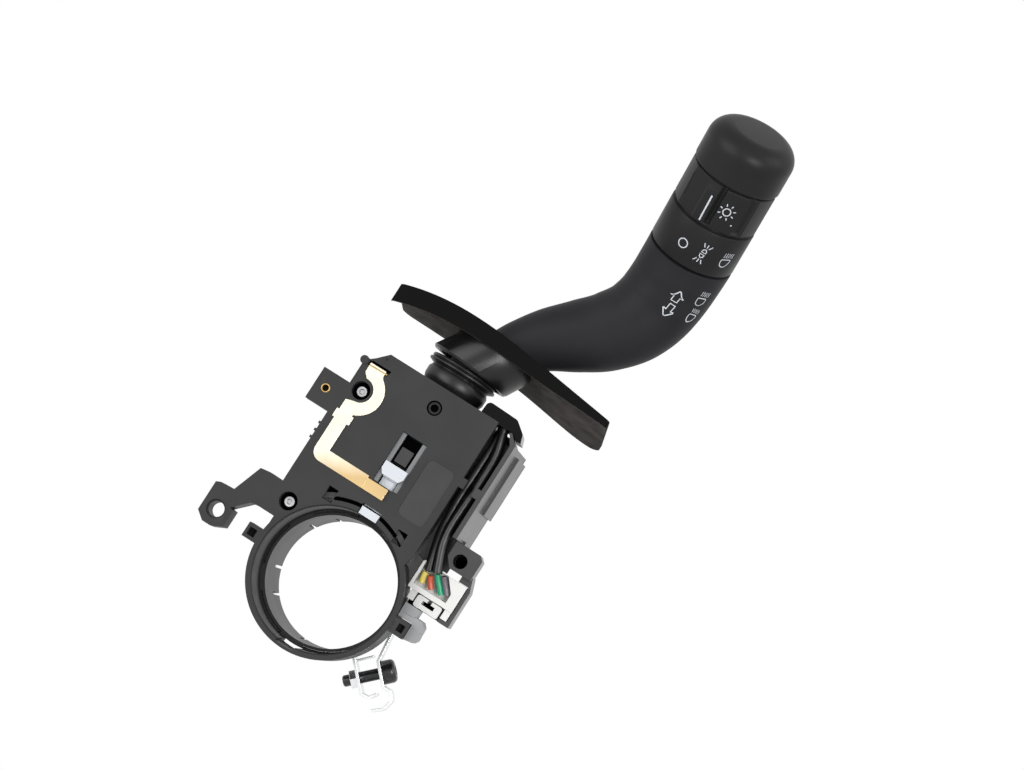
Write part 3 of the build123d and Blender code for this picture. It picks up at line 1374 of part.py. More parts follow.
with BuildPart() as knob_cap:
    with BuildSketch(head_plane(cap_start)):
        Circle(head_r - segment_step)
    extrude(amount=2.0)
    with BuildSketch(head_plane(cap_start + segment_gap)):
        Circle(head_r + 0.2)
    extrude(amount=cap_length - segment_gap)
    fillet(knob_cap.faces().sort_by(Axis((0, 0, 0), head_dir))[-1].edges(), cap_round)
    with BuildSketch(head_plane(cap_start)):
        Circle(head_r - 2 * lever_wall)
        Circle(spindle_r + 3.0, mode=Mode.SUBTRACT)
    extrude(amount=cap_length - cap_round - 2.0, mode=Mode.SUBTRACT)
    with BuildSketch(head_plane(cap_start)):
        Circle(spindle_r)
    extrude(amount=cap_length - cap_round - 2.0, mode=Mode.SUBTRACT)
knob_cap.part.label = "knob_cap"
export_step(knob_cap.part, "parts/knob_cap.step")
with BuildPart() as knob_spindle:
    with BuildSketch(head_plane(-4.0)):
        Circle(spindle_r)
    extrude(amount=cap_start + cap_length - cap_round - 2.0 + 4.0)
    with BuildSketch(head_plane(-3.0)):
        Circle(spindle_r + 1.6)
        Circle(spindle_r, mode=Mode.SUBTRACT)
    extrude(amount=1.0)
knob_spindle.part.label = "knob_spindle"
export_step(knob_spindle.part, "parts/knob_spindle.step")
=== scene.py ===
"""Looks of the combination stalk switch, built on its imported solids.

Metres, in the part's own frame: origin on the steering column axis, +Z up the column to the driver,
+Y from the column to the lever, +X to the cable plug. A value ending in _mm is in millimetres.
"""
import json
import math

import bmesh
import bpy
import numpy as np
from mathutils import Matrix, Vector


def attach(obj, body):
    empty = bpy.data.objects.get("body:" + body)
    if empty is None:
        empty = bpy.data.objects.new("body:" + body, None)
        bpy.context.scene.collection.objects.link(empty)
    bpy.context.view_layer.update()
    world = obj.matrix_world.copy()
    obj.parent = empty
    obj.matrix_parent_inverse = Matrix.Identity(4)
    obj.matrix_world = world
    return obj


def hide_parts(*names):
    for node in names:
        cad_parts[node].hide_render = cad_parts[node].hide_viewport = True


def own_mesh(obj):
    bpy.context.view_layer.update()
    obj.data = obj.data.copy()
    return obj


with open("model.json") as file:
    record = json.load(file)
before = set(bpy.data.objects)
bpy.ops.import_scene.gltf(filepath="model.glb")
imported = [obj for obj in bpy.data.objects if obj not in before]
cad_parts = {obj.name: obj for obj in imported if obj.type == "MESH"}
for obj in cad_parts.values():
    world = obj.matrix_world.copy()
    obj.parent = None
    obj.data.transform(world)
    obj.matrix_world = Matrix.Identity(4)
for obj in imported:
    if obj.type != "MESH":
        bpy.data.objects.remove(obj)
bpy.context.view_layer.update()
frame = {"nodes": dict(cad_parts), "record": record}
record = frame["record"]
MM = 0.001

# ---------------------------------------------------------------- camera
camera_place_mm = (94.3, 22.7, 758.0)
camera_target_mm = (16.65, 82.38, 18.0)
camera_turn_deg = 32.5
camera_lens = 83.9

# ---------------------------------------------------------------- the CAD nodes' bodies and finishes
body_of_node = {}
for body, nodes in record["behaviour"]["bodies"].items():
    for node in nodes:
        body_of_node[node] = body
slot_of_node = {part["node"]: part["material_slot"] for part in record["subparts"]}


# ---------------------------------------------------------------- materials
def new_material(name):
    """Empty node material with a Principled shader, and its tree."""
    material = bpy.data.materials.new(name)
    material.use_nodes = True
    tree = material.node_tree
    return material, tree, tree.nodes["Principled BSDF"]


def object_noise(tree, scale, detail):
    """Noise texture in object space; scale counts features per metre."""
    coords = tree.nodes.new("ShaderNodeTexCoord")
    noise = tree.nodes.new("ShaderNodeTexNoise")
    noise.inputs["Scale"].default_value = scale
    noise.inputs["Detail"].default_value = detail
    tree.links.new(coords.outputs["Object"], noise.inputs["Vector"])
    return noise


def ramp(tree, source, low, high, start=0.3, end=0.7):
    """Colour that runs from low to high as source runs from start to end."""
    node = tree.nodes.new("ShaderNodeValToRGB")
    node.color_ramp.elements[0].position = start
    node.color_ramp.elements[0].color = (*low, 1)
    node.color_ramp.elements[1].position = end
    node.color_ramp.elements[1].color = (*high, 1)
    tree.links.new(source, node.inputs["Fac"])
    return node


def shade(colour, factor):
    """The colour, lighter or darker by a factor."""
    return tuple(min(1.0, channel * factor) for channel in colour)


def cloudy(tree, shader, colour, patch, cloud, least_rough, most_rough):
    """Colour and gloss that drift with the cloud: colour by the share patch, roughness between limits."""
    tint = ramp(tree, cloud.outputs["Fac"], shade(colour, 1 - patch), shade(colour, 1 + patch))
    tree.links.new(tint.outputs["Color"], shader.inputs["Base Color"])
    gloss = tree.nodes.new("ShaderNodeMapRange")
    gloss.inputs["To Min"].default_value = least_rough
    gloss.inputs["To Max"].default_value = most_rough
    tree.links.new(cloud.outputs["Fac"], gloss.inputs["Value"])
    tree.links.new(gloss.outputs["Result"], shader.inputs["Roughness"])


def fine_bump(tree, shader, grain, detail, strength, depth_mm):
    """Fine grain in the normal; grain counts features per metre."""
    fine = object_noise(tree, grain, detail)
    normal = tree.nodes.new("ShaderNodeBump")
    normal.inputs["Strength"].default_value = strength
    normal.inputs["Distance"].default_value = depth_mm * MM
    tree.links.new(fine.outputs["Fac"], normal.inputs["Height"])
    tree.links.new(normal.outputs["Normal"], shader.inputs["Normal"])


def grained(name, colour, roughness, grain, bump, patch, specular):
    """Moulded plastic or rubber: fine grain in the normal, cloudy patches in colour and gloss."""
    gloss_drift = 0.06
    material, tree, shader = new_material(name)
    cloudy(tree, shader, colour, patch, object_noise(tree, 60.0, 3.0),
           max(0.02, roughness - gloss_drift), min(1.0, roughness + gloss_drift))
    fine_bump(tree, shader, grain, 2.0, bump, 0.03)
    shader.inputs["Specular IOR Level"].default_value = specular
    return material


def metal(name, colour, roughness, patch, bump):
    """Metal with a fine plated or rolled texture."""
    material, tree, shader = new_material(name)
    shader.inputs["Metallic"].default_value = 1.0
    cloudy(tree, shader, colour, patch, object_noise(tree, 220.0, 4.0), roughness * 0.7, roughness * 1.3)
    fine_bump(tree, shader, 900.0, 3.0, bump, 0.02)
    return material


def shield_finish():
    """Dull black rubber whose underside, which faces the column, is lighter grey-brown in cloudy patches."""
    material = grained("shield_rubber", (0.0025, 0.0025, 0.0025), 0.75, 1500.0, 0.6, 0.25, 0.08)
    tree = material.node_tree
    shader = tree.nodes["Principled BSDF"]
    black = shader.inputs["Base Color"].links[0].from_socket
    coords = tree.nodes.new("ShaderNodeTexCoord")
    parts = tree.nodes.new("ShaderNodeSeparateXYZ")
    tree.links.new(coords.outputs["Normal"], parts.inputs["Vector"])
    # faces turned towards the column (-Y) take a lighter grey-brown tone in cloudy patches, set by which way
    # they face
    under = tree.nodes.new("ShaderNodeMapRange")
    under.inputs["From Min"].default_value = -0.55
    under.inputs["From Max"].default_value = -0.9
    tree.links.new(parts.outputs["Y"], under.inputs["Value"])
    underside_cloud = object_noise(tree, 160.0, 5.0)
    underside_tone = ramp(tree, underside_cloud.outputs["Fac"], (0.040, 0.035, 0.033), (0.12, 0.108, 0.10), 0.32, 0.68)
    mix = tree.nodes.new("ShaderNodeMix")
    mix.data_type = "RGBA"
    tree.links.new(under.outputs["Result"], mix.inputs["Factor"])
    tree.links.new(black, mix.inputs["A"])
    tree.links.new(underside_tone.outputs["Color"], mix.inputs["B"])
    tree.links.new(mix.outputs["Result"], shader.inputs["Base Color"])
    return material


def strip_finish():
    """Rolled brass with a painted reflection: pale cream along its long leg, running to tan brass towards the
    tip.
    """
    material = metal("contact_brass", (0.86, 0.74, 0.52), 0.34, 0.04, 0.05)
    tree = material.node_tree
    shader = tree.nodes["Principled BSDF"]
    shader.inputs["Metallic"].default_value = 0.55
    coords = tree.nodes.new("ShaderNodeTexCoord")
    towards = tree.nodes.new("ShaderNodeVectorMath")
    towards.operation = "DOT_PRODUCT"
    towards.inputs[1].default_value = (-0.5, 1.0, 0.0)
    tree.links.new(coords.outputs["Object"], towards.inputs[0])
    along = tree.nodes.new("ShaderNodeMapRange")
    along.inputs["From Min"].default_value = 0.0365
    along.inputs["From Max"].default_value = 0.0445
    tree.links.new(towards.outputs["Value"], along.inputs["Value"])
    # painted reflection of white light: pale cream on the long leg, fading to the tan brass towards the tip
    painted_reflection_ramp = ramp(tree, along.outputs["Result"], (0.62, 0.44, 0.21), (0.84, 0.78, 0.64), 0.0, 1.0)
    tree.links.new(painted_reflection_ramp.outputs["Color"], shader.inputs["Base Color"])
    return material


# moulded and rubber finishes: colour, roughness, grain per metre, bump, patch, specular level
moulded = {
    "housing_plastic": ((0.030, 0.030, 0.031), 0.46, 2200.0, 0.5, 0.12, 0.2),
    "body_plastic": ((0.034, 0.034, 0.035), 0.28, 1600.0, 0.12, 0.12, 0.5),
    "cover_plastic": ((0.014, 0.014, 0.015), 0.38, 2200.0, 0.4, 0.12, 0.2),
    "hood_plastic": ((0.0015, 0.0015, 0.0015), 0.16, 500.0, 0.12, 0.12, 0.15),
    "sleeve_plastic": ((0.010, 0.010, 0.010), 0.42, 1200.0, 0.3, 0.12, 0.3),
    "recess_plastic": ((0.046, 0.046, 0.047), 0.5, 2200.0, 0.4, 0.12, 0.2),
    "deep_shadow": ((0.0012, 0.0012, 0.0012), 0.85, 1500.0, 0.3, 0.12, 0.0),
    "lever_plastic": ((0.022, 0.022, 0.0245), 0.48, 2600.0, 0.35, 0.12, 0.08),
    "head_plastic": ((0.017, 0.017, 0.018), 0.38, 2600.0, 0.15, 0.12, 0.12),
    "collar_plastic": ((0.004, 0.004, 0.004), 0.34, 900.0, 0.05, 0.12, 0.35),
    "clip_nylon": ((0.27, 0.28, 0.285), 0.40, 1800.0, 0.1, 0.1, 0.5),
    "gaiter_rubber": ((0.004, 0.004, 0.004), 0.38, 1200.0, 0.2, 0.12, 0.35),
    "natural_nylon": ((0.62, 0.65, 0.69), 0.42, 1800.0, 0.1, 0.03, 0.5),
    "grey_nylon": ((0.17, 0.175, 0.18), 0.40, 1800.0, 0.1, 0.05, 0.5),
    "connector_nylon": ((0.72, 0.72, 0.70), 0.42, 1800.0, 0.1, 0.03, 0.5),
    "black_oxide": ((0.010, 0.010, 0.011), 0.28, 1500.0, 0.2, 0.12, 0.5),
    "board_laminate": ((0.05, 0.16, 0.07), 0.4, 2600.0, 0.25, 0.12, 0.5),
    "cable_sleeve": ((0.008, 0.008, 0.008), 0.36, 900.0, 0.1, 0.12, 0.5),
    "wire_yellow": ((0.72, 0.60, 0.12), 0.35, 2600.0, 0.1, 0.05, 0.5),
    "wire_red": ((0.56, 0.10, 0.05), 0.35, 2600.0, 0.1, 0.05, 0.5),
    "wire_green": ((0.02, 0.34, 0.17), 0.35, 2600.0, 0.1, 0.05, 0.5),
    "wire_grey": ((0.16, 0.14, 0.16), 0.35, 2600.0, 0.1, 0.05, 0.5),
}
# metal finishes: colour, roughness, patch, bump
metals = {
    "screw_zinc": ((0.40, 0.40, 0.41), 0.36, 0.2, 0.15),
    "insert_brass": ((0.42, 0.29, 0.11), 0.34, 0.15, 0.1),
    "bright_zinc": ((0.78, 0.79, 0.80), 0.26, 0.05, 0.05),
    "pin_steel": ((0.62, 0.62, 0.63), 0.25, 0.1, 0.15),
}
finishes = {name: grained(name, *look) for name, look in moulded.items()}
finishes |= {name: metal(name, *look) for name, look in metals.items()}
finishes |= {"shield_rubber": shield_finish(), "contact_brass": strip_finish()}


# ---------------------------------------------------------------- CAD nodes with soft edges
# nodes whose finish differs a little from their slot's
own_finish = {"housing_body": "body_plastic", "cable_hood": "hood_plastic", "column_sleeve": "sleeve_plastic",
              "threaded_insert": "insert_brass", "plate_screws": "screw_zinc", "band_clip": "clip_nylon"}


def placed(name, mesh, body):
    """Object for a mesh, in the scene and on its body."""
    piece = bpy.data.objects.new(name, mesh)
    bpy.context.scene.collection.objects.link(piece)
    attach(piece, body)
    return piece


def rounded_edges(piece, width_mm, segments, sharp_deg):
    """Bevel on the edges that are sharper than this angle."""
    bevel = piece.modifiers.new("edge", "BEVEL")
    bevel.width = width_mm * MM
    bevel.segments = segments
    bevel.limit_method = "ANGLE"
    bevel.angle_limit = math.radians(sharp_deg)
    bevel.harden_normals = True


def finished(node):
    """Copy of a CAD node with its loose triangles joined, smooth sides and rounded edges."""
    sharp_deg, same_point, flat_deg = 32.0, 0.002 * MM, 0.5
    mesh = frame["nodes"][node].data.copy()
    mesh.name = node + "_finished"
    shape = bmesh.new()
    shape.from_mesh(mesh)
    bmesh.ops.remove_doubles(shape, verts=shape.verts, dist=same_point)
    bmesh.ops.dissolve_degenerate(shape, edges=shape.edges, dist=same_point)
    bmesh.ops.dissolve_limit(shape, angle_limit=math.radians(flat_deg), verts=shape.verts, edges=shape.edges)
    shape.to_mesh(mesh)
    shape.free()
    mesh.shade_smooth()
    mesh.set_sharp_from_angle(angle=math.radians(sharp_deg))
    mesh.materials.clear()
    mesh.materials.append(finishes[own_finish.get(node, slot_of_node[node])])
    piece = placed(node + "_finished", mesh, body_of_node[node])
    rounded_edges(piece, 0.15, 2, sharp_deg)
    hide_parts(node)
    return piece


shaped_below = ("lever_arm", "legend_ring", "knob_grip", "knob_cap", "shield")
pieces = {node: finished(node) for node in sorted(slot_of_node) if node not in shaped_below}

# each spring's piece gets a mesh of its own; the table gives the travel of its pin or plunger towards its
# fixed end
springs_mm = {
    # spring: (joint, travel, start, end, fixed end) along +Y
    "plunger_spring": ("cancel_plunger_slide", 2.4, 27.6, 34.35, 27.6),
    "turn_detent_spring": ("turn_detent_slide", 1.2, 46.62, 49.18, 49.18),
    "dip_detent_spring": ("dip_detent_slide", 1.0, 57.82, 60.38, 60.38),
}
for node, (joint, travel, start, end, fixed_end) in springs_mm.items():
    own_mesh(pieces[node])


# ---------------------------------------------------------------- lever and head surfaces
def unit(way):
    """The direction with length one."""
    return way / np.linalg.norm(way, axis=-1, keepdims=True)


def surface(name, points, finish, body, stands_for):
    """Closed tube through rows of points in millimetres, each row a ring; the rows' ends stay open."""
    rows, around = points.shape[:2]
    row = np.arange(rows - 1)[:, None] * around
    column = np.arange(around)[None, :]
    following = (column + 1) % around
    next_row = row + around
    faces = np.stack([row + column, row + following, next_row + following, next_row + column], axis=-1)
    mesh = bpy.data.meshes.new(name)
    mesh.from_pydata((points.reshape(-1, 3) * MM).tolist(), [], faces.reshape(-1, 4).tolist())
    mesh.shade_smooth()
    mesh.materials.append(finishes[finish])
    piece = placed(name, mesh, body)
    if stands_for:
        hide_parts(stands_for)
    return piece


lever_stations = np.array([
    # x, y, z, heading from +Y towards +X, climb towards the driver, radius
    (2.9, 82.4, 3.0, 27, 0, 7.5),
    (6.6, 88.9, 3.0, 33, 0, 7.9),
    (11.0, 95.4, 3.0, 39, 0, 8.8),
    (17.1, 102.0, 3.0, 47, 0, 10.2),
    (24.7, 108.2, 3.0, 50, 1, 11.7),
    (32.2, 114.8, 3.2, 41, 3, 12.8),
    (37.9, 122.6, 3.9, 25, 8, 13.4),
    (40.6, 131.2, 5.6, 9, 18, 13.8),
    (41.4, 139.8, 8.8, 2, 28, 14.1),
    (41.6, 148.58, 13.39, 0, 34, 14.35),
])
lever_over = 0.7        # the lever's last station stands this far past the head's base
head_r = lever_stations[-1, 5]


def lever_course(stations, along):
    """Middle, way and radius of the lever: a cubic through each pair of stations, tangent to their ways."""
    heading = np.radians(stations[:, 3])
    climb = np.radians(stations[:, 4])
    ways = np.stack([np.sin(heading) * np.cos(climb), np.cos(heading) * np.cos(climb), np.sin(climb)], axis=1)
    first = np.minimum(along.astype(int), len(stations) - 2)
    part = along - first
    start_share = 2 * part ** 3 - 3 * part ** 2 + 1
    end_share = 3 * part ** 2 - 2 * part ** 3
    leave_share = part ** 3 - 2 * part ** 2 + part
    arrive_share = part ** 3 - part ** 2
    starts, ends = stations[first, :3], stations[first + 1, :3]
    chord = np.linalg.norm(ends - starts, axis=1)[:, None]
    leave, arrive = ways[first] * chord, ways[first + 1] * chord
    middle = (start_share[:, None] * starts + leave_share[:, None] * leave
              + end_share[:, None] * ends + arrive_share[:, None] * arrive)
    way = unit((6 * part ** 2 - 6 * part)[:, None] * (starts - ends)
               + (3 * part ** 2 - 4 * part + 1)[:, None] * leave
               + (3 * part ** 2 - 2 * part)[:, None] * arrive)
    swell = np.gradient(stations[:, 5])
    radius = (start_share * stations[first, 5] + leave_share * swell[first]
              + end_share * stations[first + 1, 5] + arrive_share * swell[first + 1])
    return middle, way, radius


def front_of(way):
    """For each direction, the square direction that faces the driver, and the one to its right."""
    front = np.zeros_like(way)
    front[..., 2] = 1.0
    front = unit(front - way * way[..., 2:])
    return front, np.cross(way, front)


course_steps = np.linspace(0.0, len(lever_stations) - 1.001, 900)  # stops just short of the last station
course_middle, course_way, course_r = lever_course(lever_stations, course_steps)
course_run = np.concatenate([[0.0], np.cumsum(np.linalg.norm(np.diff(course_middle, axis=0), axis=1))])
lever_run = course_run[-1]
head_way = course_way[-1]
head_base = lever_stations[-1, :3] - lever_over * head_way


def lever_points(back, angle, lift=0.0):
    """Points on the lever: back is the run from its end at the head, angle starts at the driver's side."""
    run = lever_run - back
    middle = np.stack([np.interp(run, course_run, course_middle[:, axis]) for axis in range(3)], axis=-1)
    way = unit(np.stack([np.interp(run, course_run, course_way[:, axis]) for axis in range(3)], axis=-1))
    radius = np.interp(run, course_run, course_r) + lift
    front, right = front_of(way)
    return middle + radius[..., None] * (np.cos(angle)[..., None] * front + np.sin(angle)[..., None] * right)


def head_points(out, angle, radius):
    """Points round the head's axis: out is the distance from its base."""
    front, right = front_of(head_way)
    return (head_base + out[..., None] * head_way
            + radius[..., None] * (np.cos(angle)[..., None] * front + np.sin(angle)[..., None] * right))


lever_columns, lever_rows = 192, 150
lever_start = 5.0       # the shell starts this far along the course
lever_end = np.array([
    # back, lift: a rounded edge, then the end face
    (0.22, -0.05), (0.1, -0.14), (0.03, -0.26), (0.0, -0.4), (0.0, -1.6), (0.0, -4.0),
])
lever_backs = np.concatenate([np.linspace(lever_run - lever_start, 0.4, lever_rows), lever_end[:, 0]])
lever_lifts = np.concatenate([np.zeros(lever_rows), lever_end[:, 1]])
lever_angles = np.linspace(-math.pi, math.pi, lever_columns, endpoint=False)
lever_grid = np.broadcast_arrays(lever_backs[:, None], lever_angles[None], lever_lifts[:, None])
surface("lever_shell", lever_points(*lever_grid), "lever_plastic", "lever", "lever_arm")


def turned(name, outline, finish, body, stands_for, columns=192, shape=None):
    """Surface round the head's axis through (distance, radius) pairs; shape changes the radius by place."""
    outline = np.array(outline)
    angles = np.linspace(-math.pi, math.pi, columns, endpoint=False)
    out, angle, radius = np.broadcast_arrays(outline[:, :1], angles[None], outline[:, 1:])
    if shape:
        radius = shape(out, angle, radius)
    surface(name, head_points(out, angle, radius), finish, body, stands_for)


def edge(out, radius, size, side):
    """Three points that round an outer edge, on its near side (1) or far side (-1)."""
    bulge = 0.3 * size
    return [(out, radius - size), (out + side * bulge, radius - bulge), (out + side * size, radius)]


ring_start, ring_end = 1.6, 16.15
grip_low, grip_high = 17.05, 31.1
cap_low, cap_high = 31.95, 46.8
neck_r = head_r - 1.5       # bottom of the seams between the pieces
near_edge, far_edge = 0.35, 0.3
tuck = 0.1                  # a neck ends this far before or past the piece beside it
ring_hole_r = neck_r - 3.0
turned("legend_ring_shell",
       [(-tuck, ring_hole_r), (-tuck, neck_r), (ring_start, neck_r)]
       + edge(ring_start, head_r, near_edge, 1) + edge(ring_end, head_r, far_edge, -1)[::-1]
       + [(ring_end, neck_r), (grip_low - tuck, neck_r)],
       "head_plastic", "lever", "legend_ring")


def smooth_step(value, low, high):
    """0 below low, 1 above high, eased between."""
    part = np.clip((value - low) / (high - low), 0, 1)
    return part * part * (3 - 2 * part)


def band(value, rise_start, rise_end, fall_start, fall_end):
    """0 outside, 1 inside, eased at both sides."""
    return smooth_step(value, rise_start, rise_end) * (1 - smooth_step(value, fall_start, fall_end))


# forms round the grip, in degrees from its index: where each starts, is full, starts to fade and ends
index_band = (-22.5, -17.0, 45.0, 51.0)
rib_band = (-21.5, -16.5, -4.5, 1.5)
groove_band = (-3.5, 2.0, 4.6, 6.2)
panel_band = (4.6, 6.2, 35.5, 38.0)
second_groove_band = (35.5, 38.0, 43.0, 50.0)
rib_rise, groove_depth, second_groove_depth, panel_rise = 0.35, 1.5, 0.8, 0.25
panel_middle, panel_half = 21.0, 15.0
rib_fade = (27.6, 30.6)     # out from the head's base
groove_start = (grip_low + 0.3, grip_low + 1.5)
form_r = head_r - 0.75      # the forms are full from this radius outwards
flat_width, flat_shift = 34.0, 49.0
flat_share = 0.525          # how much of a true flat each flat is
slit_at, slit_half, slit_lean = -47.5, 0.9, 0.35
slit_low, slit_middle, slit_high, slit_depth = 20.5, 24.5, 28.9, 0.5


def grip_shape(out, angle, radius):
    """Knob section: flats all round, and at the index a rib, a groove, a flat panel and a second groove.

    A flat's radius is its half width's cosine over the cosine of the angle from its middle. The index
    stands at two opposite places. A leaning slit is cut at one side.
    """
    degrees = np.degrees(angle)
    from_flat = np.radians((degrees + flat_shift) % flat_width - flat_width / 2)
    flats = math.cos(math.radians(flat_width / 2)) / np.cos(from_flat)
    change = flat_share * (flats - 1) * head_r
    open_end = smooth_step(out, *groove_start)
    for index_at in (0.0, 180.0):
        here = (degrees - index_at + 180) % 360 - 180
        inside = band(here, *index_band)
        rib = band(here, *rib_band) * (1 - smooth_step(out, *rib_fade))
        grooves = (groove_depth * band(here, *groove_band)
                   + second_groove_depth * band(here, *second_groove_band))
        from_panel = np.radians(np.clip(here - panel_middle, -panel_half, panel_half))
        panel_flat = (math.cos(math.radians(panel_half)) / np.cos(from_panel) - 1) * head_r
        shaped = rib_rise * rib - grooves * open_end + band(here, *panel_band) * (panel_flat + panel_rise)
        change = change * (1 - inside) + shaped * inside
    from_slit = np.abs(degrees - slit_at + (out - slit_middle) * slit_lean)
    in_slit = (from_slit < slit_half) & (out > slit_low) & (out < slit_high)
    change = np.where(in_slit, change - slit_depth, change)
    return radius + change * smooth_step(radius, neck_r, form_r)


grip_r = head_r - 0.05
grip_rows = np.linspace(grip_low + 0.5, grip_high - 0.45, 46)
spigot = (grip_low - 0.6, neck_r - 0.5)     # where the grip's neck tapers to
turned("knob_grip_shell",
       [spigot, (grip_low - tuck, neck_r)] + edge(grip_low, grip_r, near_edge, 1)
       + [(out, grip_r) for out in grip_rows] + edge(grip_high, grip_r, far_edge, -1)[::-1]
       + [(grip_high, neck_r), (grip_high + tuck, neck_r)],
       "head_plastic", "light_knob", "knob_grip", columns=960, shape=grip_shape)

cap_r = head_r + 0.2
cap_neck_r = neck_r - 0.2
cap_round = 6.4             # along the axis; the edge is a little deeper across it
cap_round_across = cap_round * 1.02
cap_crown = 0.12
cap_hole_r = 0.02           # the last ring, at the pole
dome = [(cap_high - cap_round + cap_round * math.sin(part), cap_r - cap_round_across * (1 - math.cos(part)))
        for part in np.linspace(0, math.pi / 2, 30)]
top_r = dome[-1][1]
cap_rows = np.linspace(cap_low + 0.6, cap_high - cap_round - 0.2, 12)
crown_rows = np.linspace(top_r - 0.4, cap_hole_r, 12)
turned("knob_cap_shell",
       [(grip_high, cap_neck_r), (cap_low, cap_neck_r)] + edge(cap_low, cap_r, near_edge, 1)
       + [(out, cap_r) for out in cap_rows] + dome
       + [(cap_high + cap_crown * (1 - (radius / top_r) ** 2), radius) for radius in crown_rows],
       "head_plastic", "light_knob", "knob_cap")


# ---------------------------------------------------------------- shield
def through(*points):
    """Smooth curve through heights along the shield: the fifth-degree polynomial nearest to the points."""
    places, heights = np.array(points).T
    return np.polynomial.Polynomial.fit(places, heights, 5)


shield_left, shield_right, shield_rear, shield_front = -30.2, 48.8, -16.0, 18.7
shield_t, skirt_t = 1.5, 1.6
rear_corner_r, front_corner_r = 4.0, 1.4
skirt_least = 0.25          # the skirt reaches at least this far below the underside
front_line = through((-30.2, 91.0), (-17.7, 93.9), (-7.7, 94.7), (2.3, 94.5), (22.3, 92.4), (42.3, 89.7),
                     (48.8, 88.8))
rear_line = through((-30.2, 88.0), (-14.5, 87.8), (2.0, 87.2), (16.9, 86.2), (29.5, 84.1), (38.0, 83.2),
                    (48.8, 82.8))
skirt_line = through((-30.2, 84.9), (-24.0, 86.6), (-14.0, 88.3), (-2.0, 88.9), (14.0, 88.2), (30.0, 87.3),
                     (48.8, 86.5))


def rounded_end(across, corner):
    """How far the edge stands back at each place across, for corners of this radius in plan."""
    inset = np.clip(corner - np.minimum(across - shield_left, shield_right - across), 0, corner)
    return corner - np.sqrt(corner ** 2 - inset ** 2)


def shield_points():
    """Section carried from left to right: top to the front, skirt down and up, underside to the rear."""
    end_run, end_gap, end_count, middle_count = 4.0, 0.4, 14, 150
    end_steps = end_run * (1 - np.cos(np.linspace(0, math.pi / 2, end_count)))
    inset = end_run + end_gap
    middle_steps = np.linspace(shield_left + inset, shield_right - inset, middle_count)
    across = np.concatenate([shield_left + end_steps, middle_steps, shield_right - end_steps[::-1]])[:, None]
    rear = shield_rear + rounded_end(across, rear_corner_r)
    front = shield_front - rounded_end(across, front_corner_r)
    top_front, top_rear = front_line(across), rear_line(across)
    low = np.minimum(skirt_line(across), top_front - shield_t - skirt_least)
    part = np.linspace(0, 1, 24)[None]
    step = np.linspace(0, 1, 6)[None]

    def slope(depth):
        """Height of the top: a straight line from the rear line to the front line."""
        return top_rear + (top_front - top_rear) * (depth - shield_rear) / (shield_front - shield_rear)

    def stretch(height, depth):
        """One part of the section, at every place across."""
        return np.stack(np.broadcast_arrays(across, height, depth), axis=-1)

    top_depth = rear + (front - rear) * part
    inner = front - skirt_t
    under_depth = inner + (rear - inner) * part[:, 1:]
    return np.concatenate([
        stretch(slope(top_depth), top_depth),
        stretch(slope(front) + (low - slope(front)) * step[:, 1:], front),
        stretch(low + (slope(inner) - shield_t - low) * step, inner),
        stretch(slope(under_depth) - shield_t, under_depth)], axis=1)


shield_sharp_deg = 40
shield_shell = surface("shield_shell", shield_points(), "shield_rubber", "lever", "shield")
shell = bmesh.new()
shell.from_mesh(shield_shell.data)
bmesh.ops.holes_fill(shell, edges=shell.edges, sides=0)
bmesh.ops.recalc_face_normals(shell, faces=shell.faces)
shell.to_mesh(shield_shell.data)
shell.free()
shield_shell.data.set_sharp_from_angle(angle=math.radians(shield_sharp_deg))
rounded_edges(shield_shell, 0.35, 3, shield_sharp_deg)


# ---------------------------------------------------------------- printed symbols
def stroke(points, width, closed=False):
    """Flat line of this width through points, mitred at them, as its left and right edge in short steps."""
    step = 0.35
    points = np.array(points, float)
    if closed:
        points = np.vstack([points, points[:1]])
    way = unit(np.diff(points, axis=0))
    square = np.stack([-way[:, 1], way[:, 0]], axis=1)
    before = np.vstack([square[-1:] if closed else square[:1], square])
    after = np.vstack([square, square[:1] if closed else square[-1:]])
    mitre = unit(before + after)
    longest_mitre, least_cosine = 1.25, 0.3
    stretched = np.minimum(longest_mitre, 1 / np.maximum(least_cosine, np.sum(mitre * after, axis=1)))
    reach = stretched[:, None] * width / 2
    left, right = points + mitre * reach, points - mitre * reach
    runs = np.linalg.norm(np.diff(points, axis=0), axis=1)
    parts = [np.linspace(0, 1, max(2, math.ceil(run / step) + 1))[:-1, None] for run in runs]
    lefts = [left[i] + (left[i + 1] - left[i]) * part for i, part in enumerate(parts)] + [left[-1:]]
    rights = [right[i] + (right[i + 1] - right[i]) * part for i, part in enumerate(parts)] + [right[-1:]]
    return np.concatenate(lefts), np.concatenate(rights)


def ring_line(middle, radius, count=28):
    """Points of a circle."""
    angle = np.linspace(0, 2 * math.pi, count, endpoint=False)
    return [(middle[0] + radius * math.cos(a), middle[1] + radius * math.sin(a)) for a in angle]


def moved(points, right, up, turned_by=0.0):
    """Points turned by degrees and then moved."""
    cosine, sine = math.cos(math.radians(turned_by)), math.sin(math.radians(turned_by))
    return [(cosine * x - sine * y + right, sine * x + cosine * y + up) for x, y in points]


def scaled(points, wide, high):
    """Points drawn wider or higher."""
    return [(wide * x, high * y) for x, y in points]


lamp_bowl = [(-1.75, 1.3), (1.5, 1.45), (2.0, 1.1), (1.95, 0.3), (1.5, -0.6), (0.75, -1.4), (-0.2, -1.75),
             (-1.1, -1.6), (-1.75, -0.95), (-2.05, -0.05), (-2.05, 0.85)]
line_width, ray_width, bold_width = 0.32, 0.24, 0.36


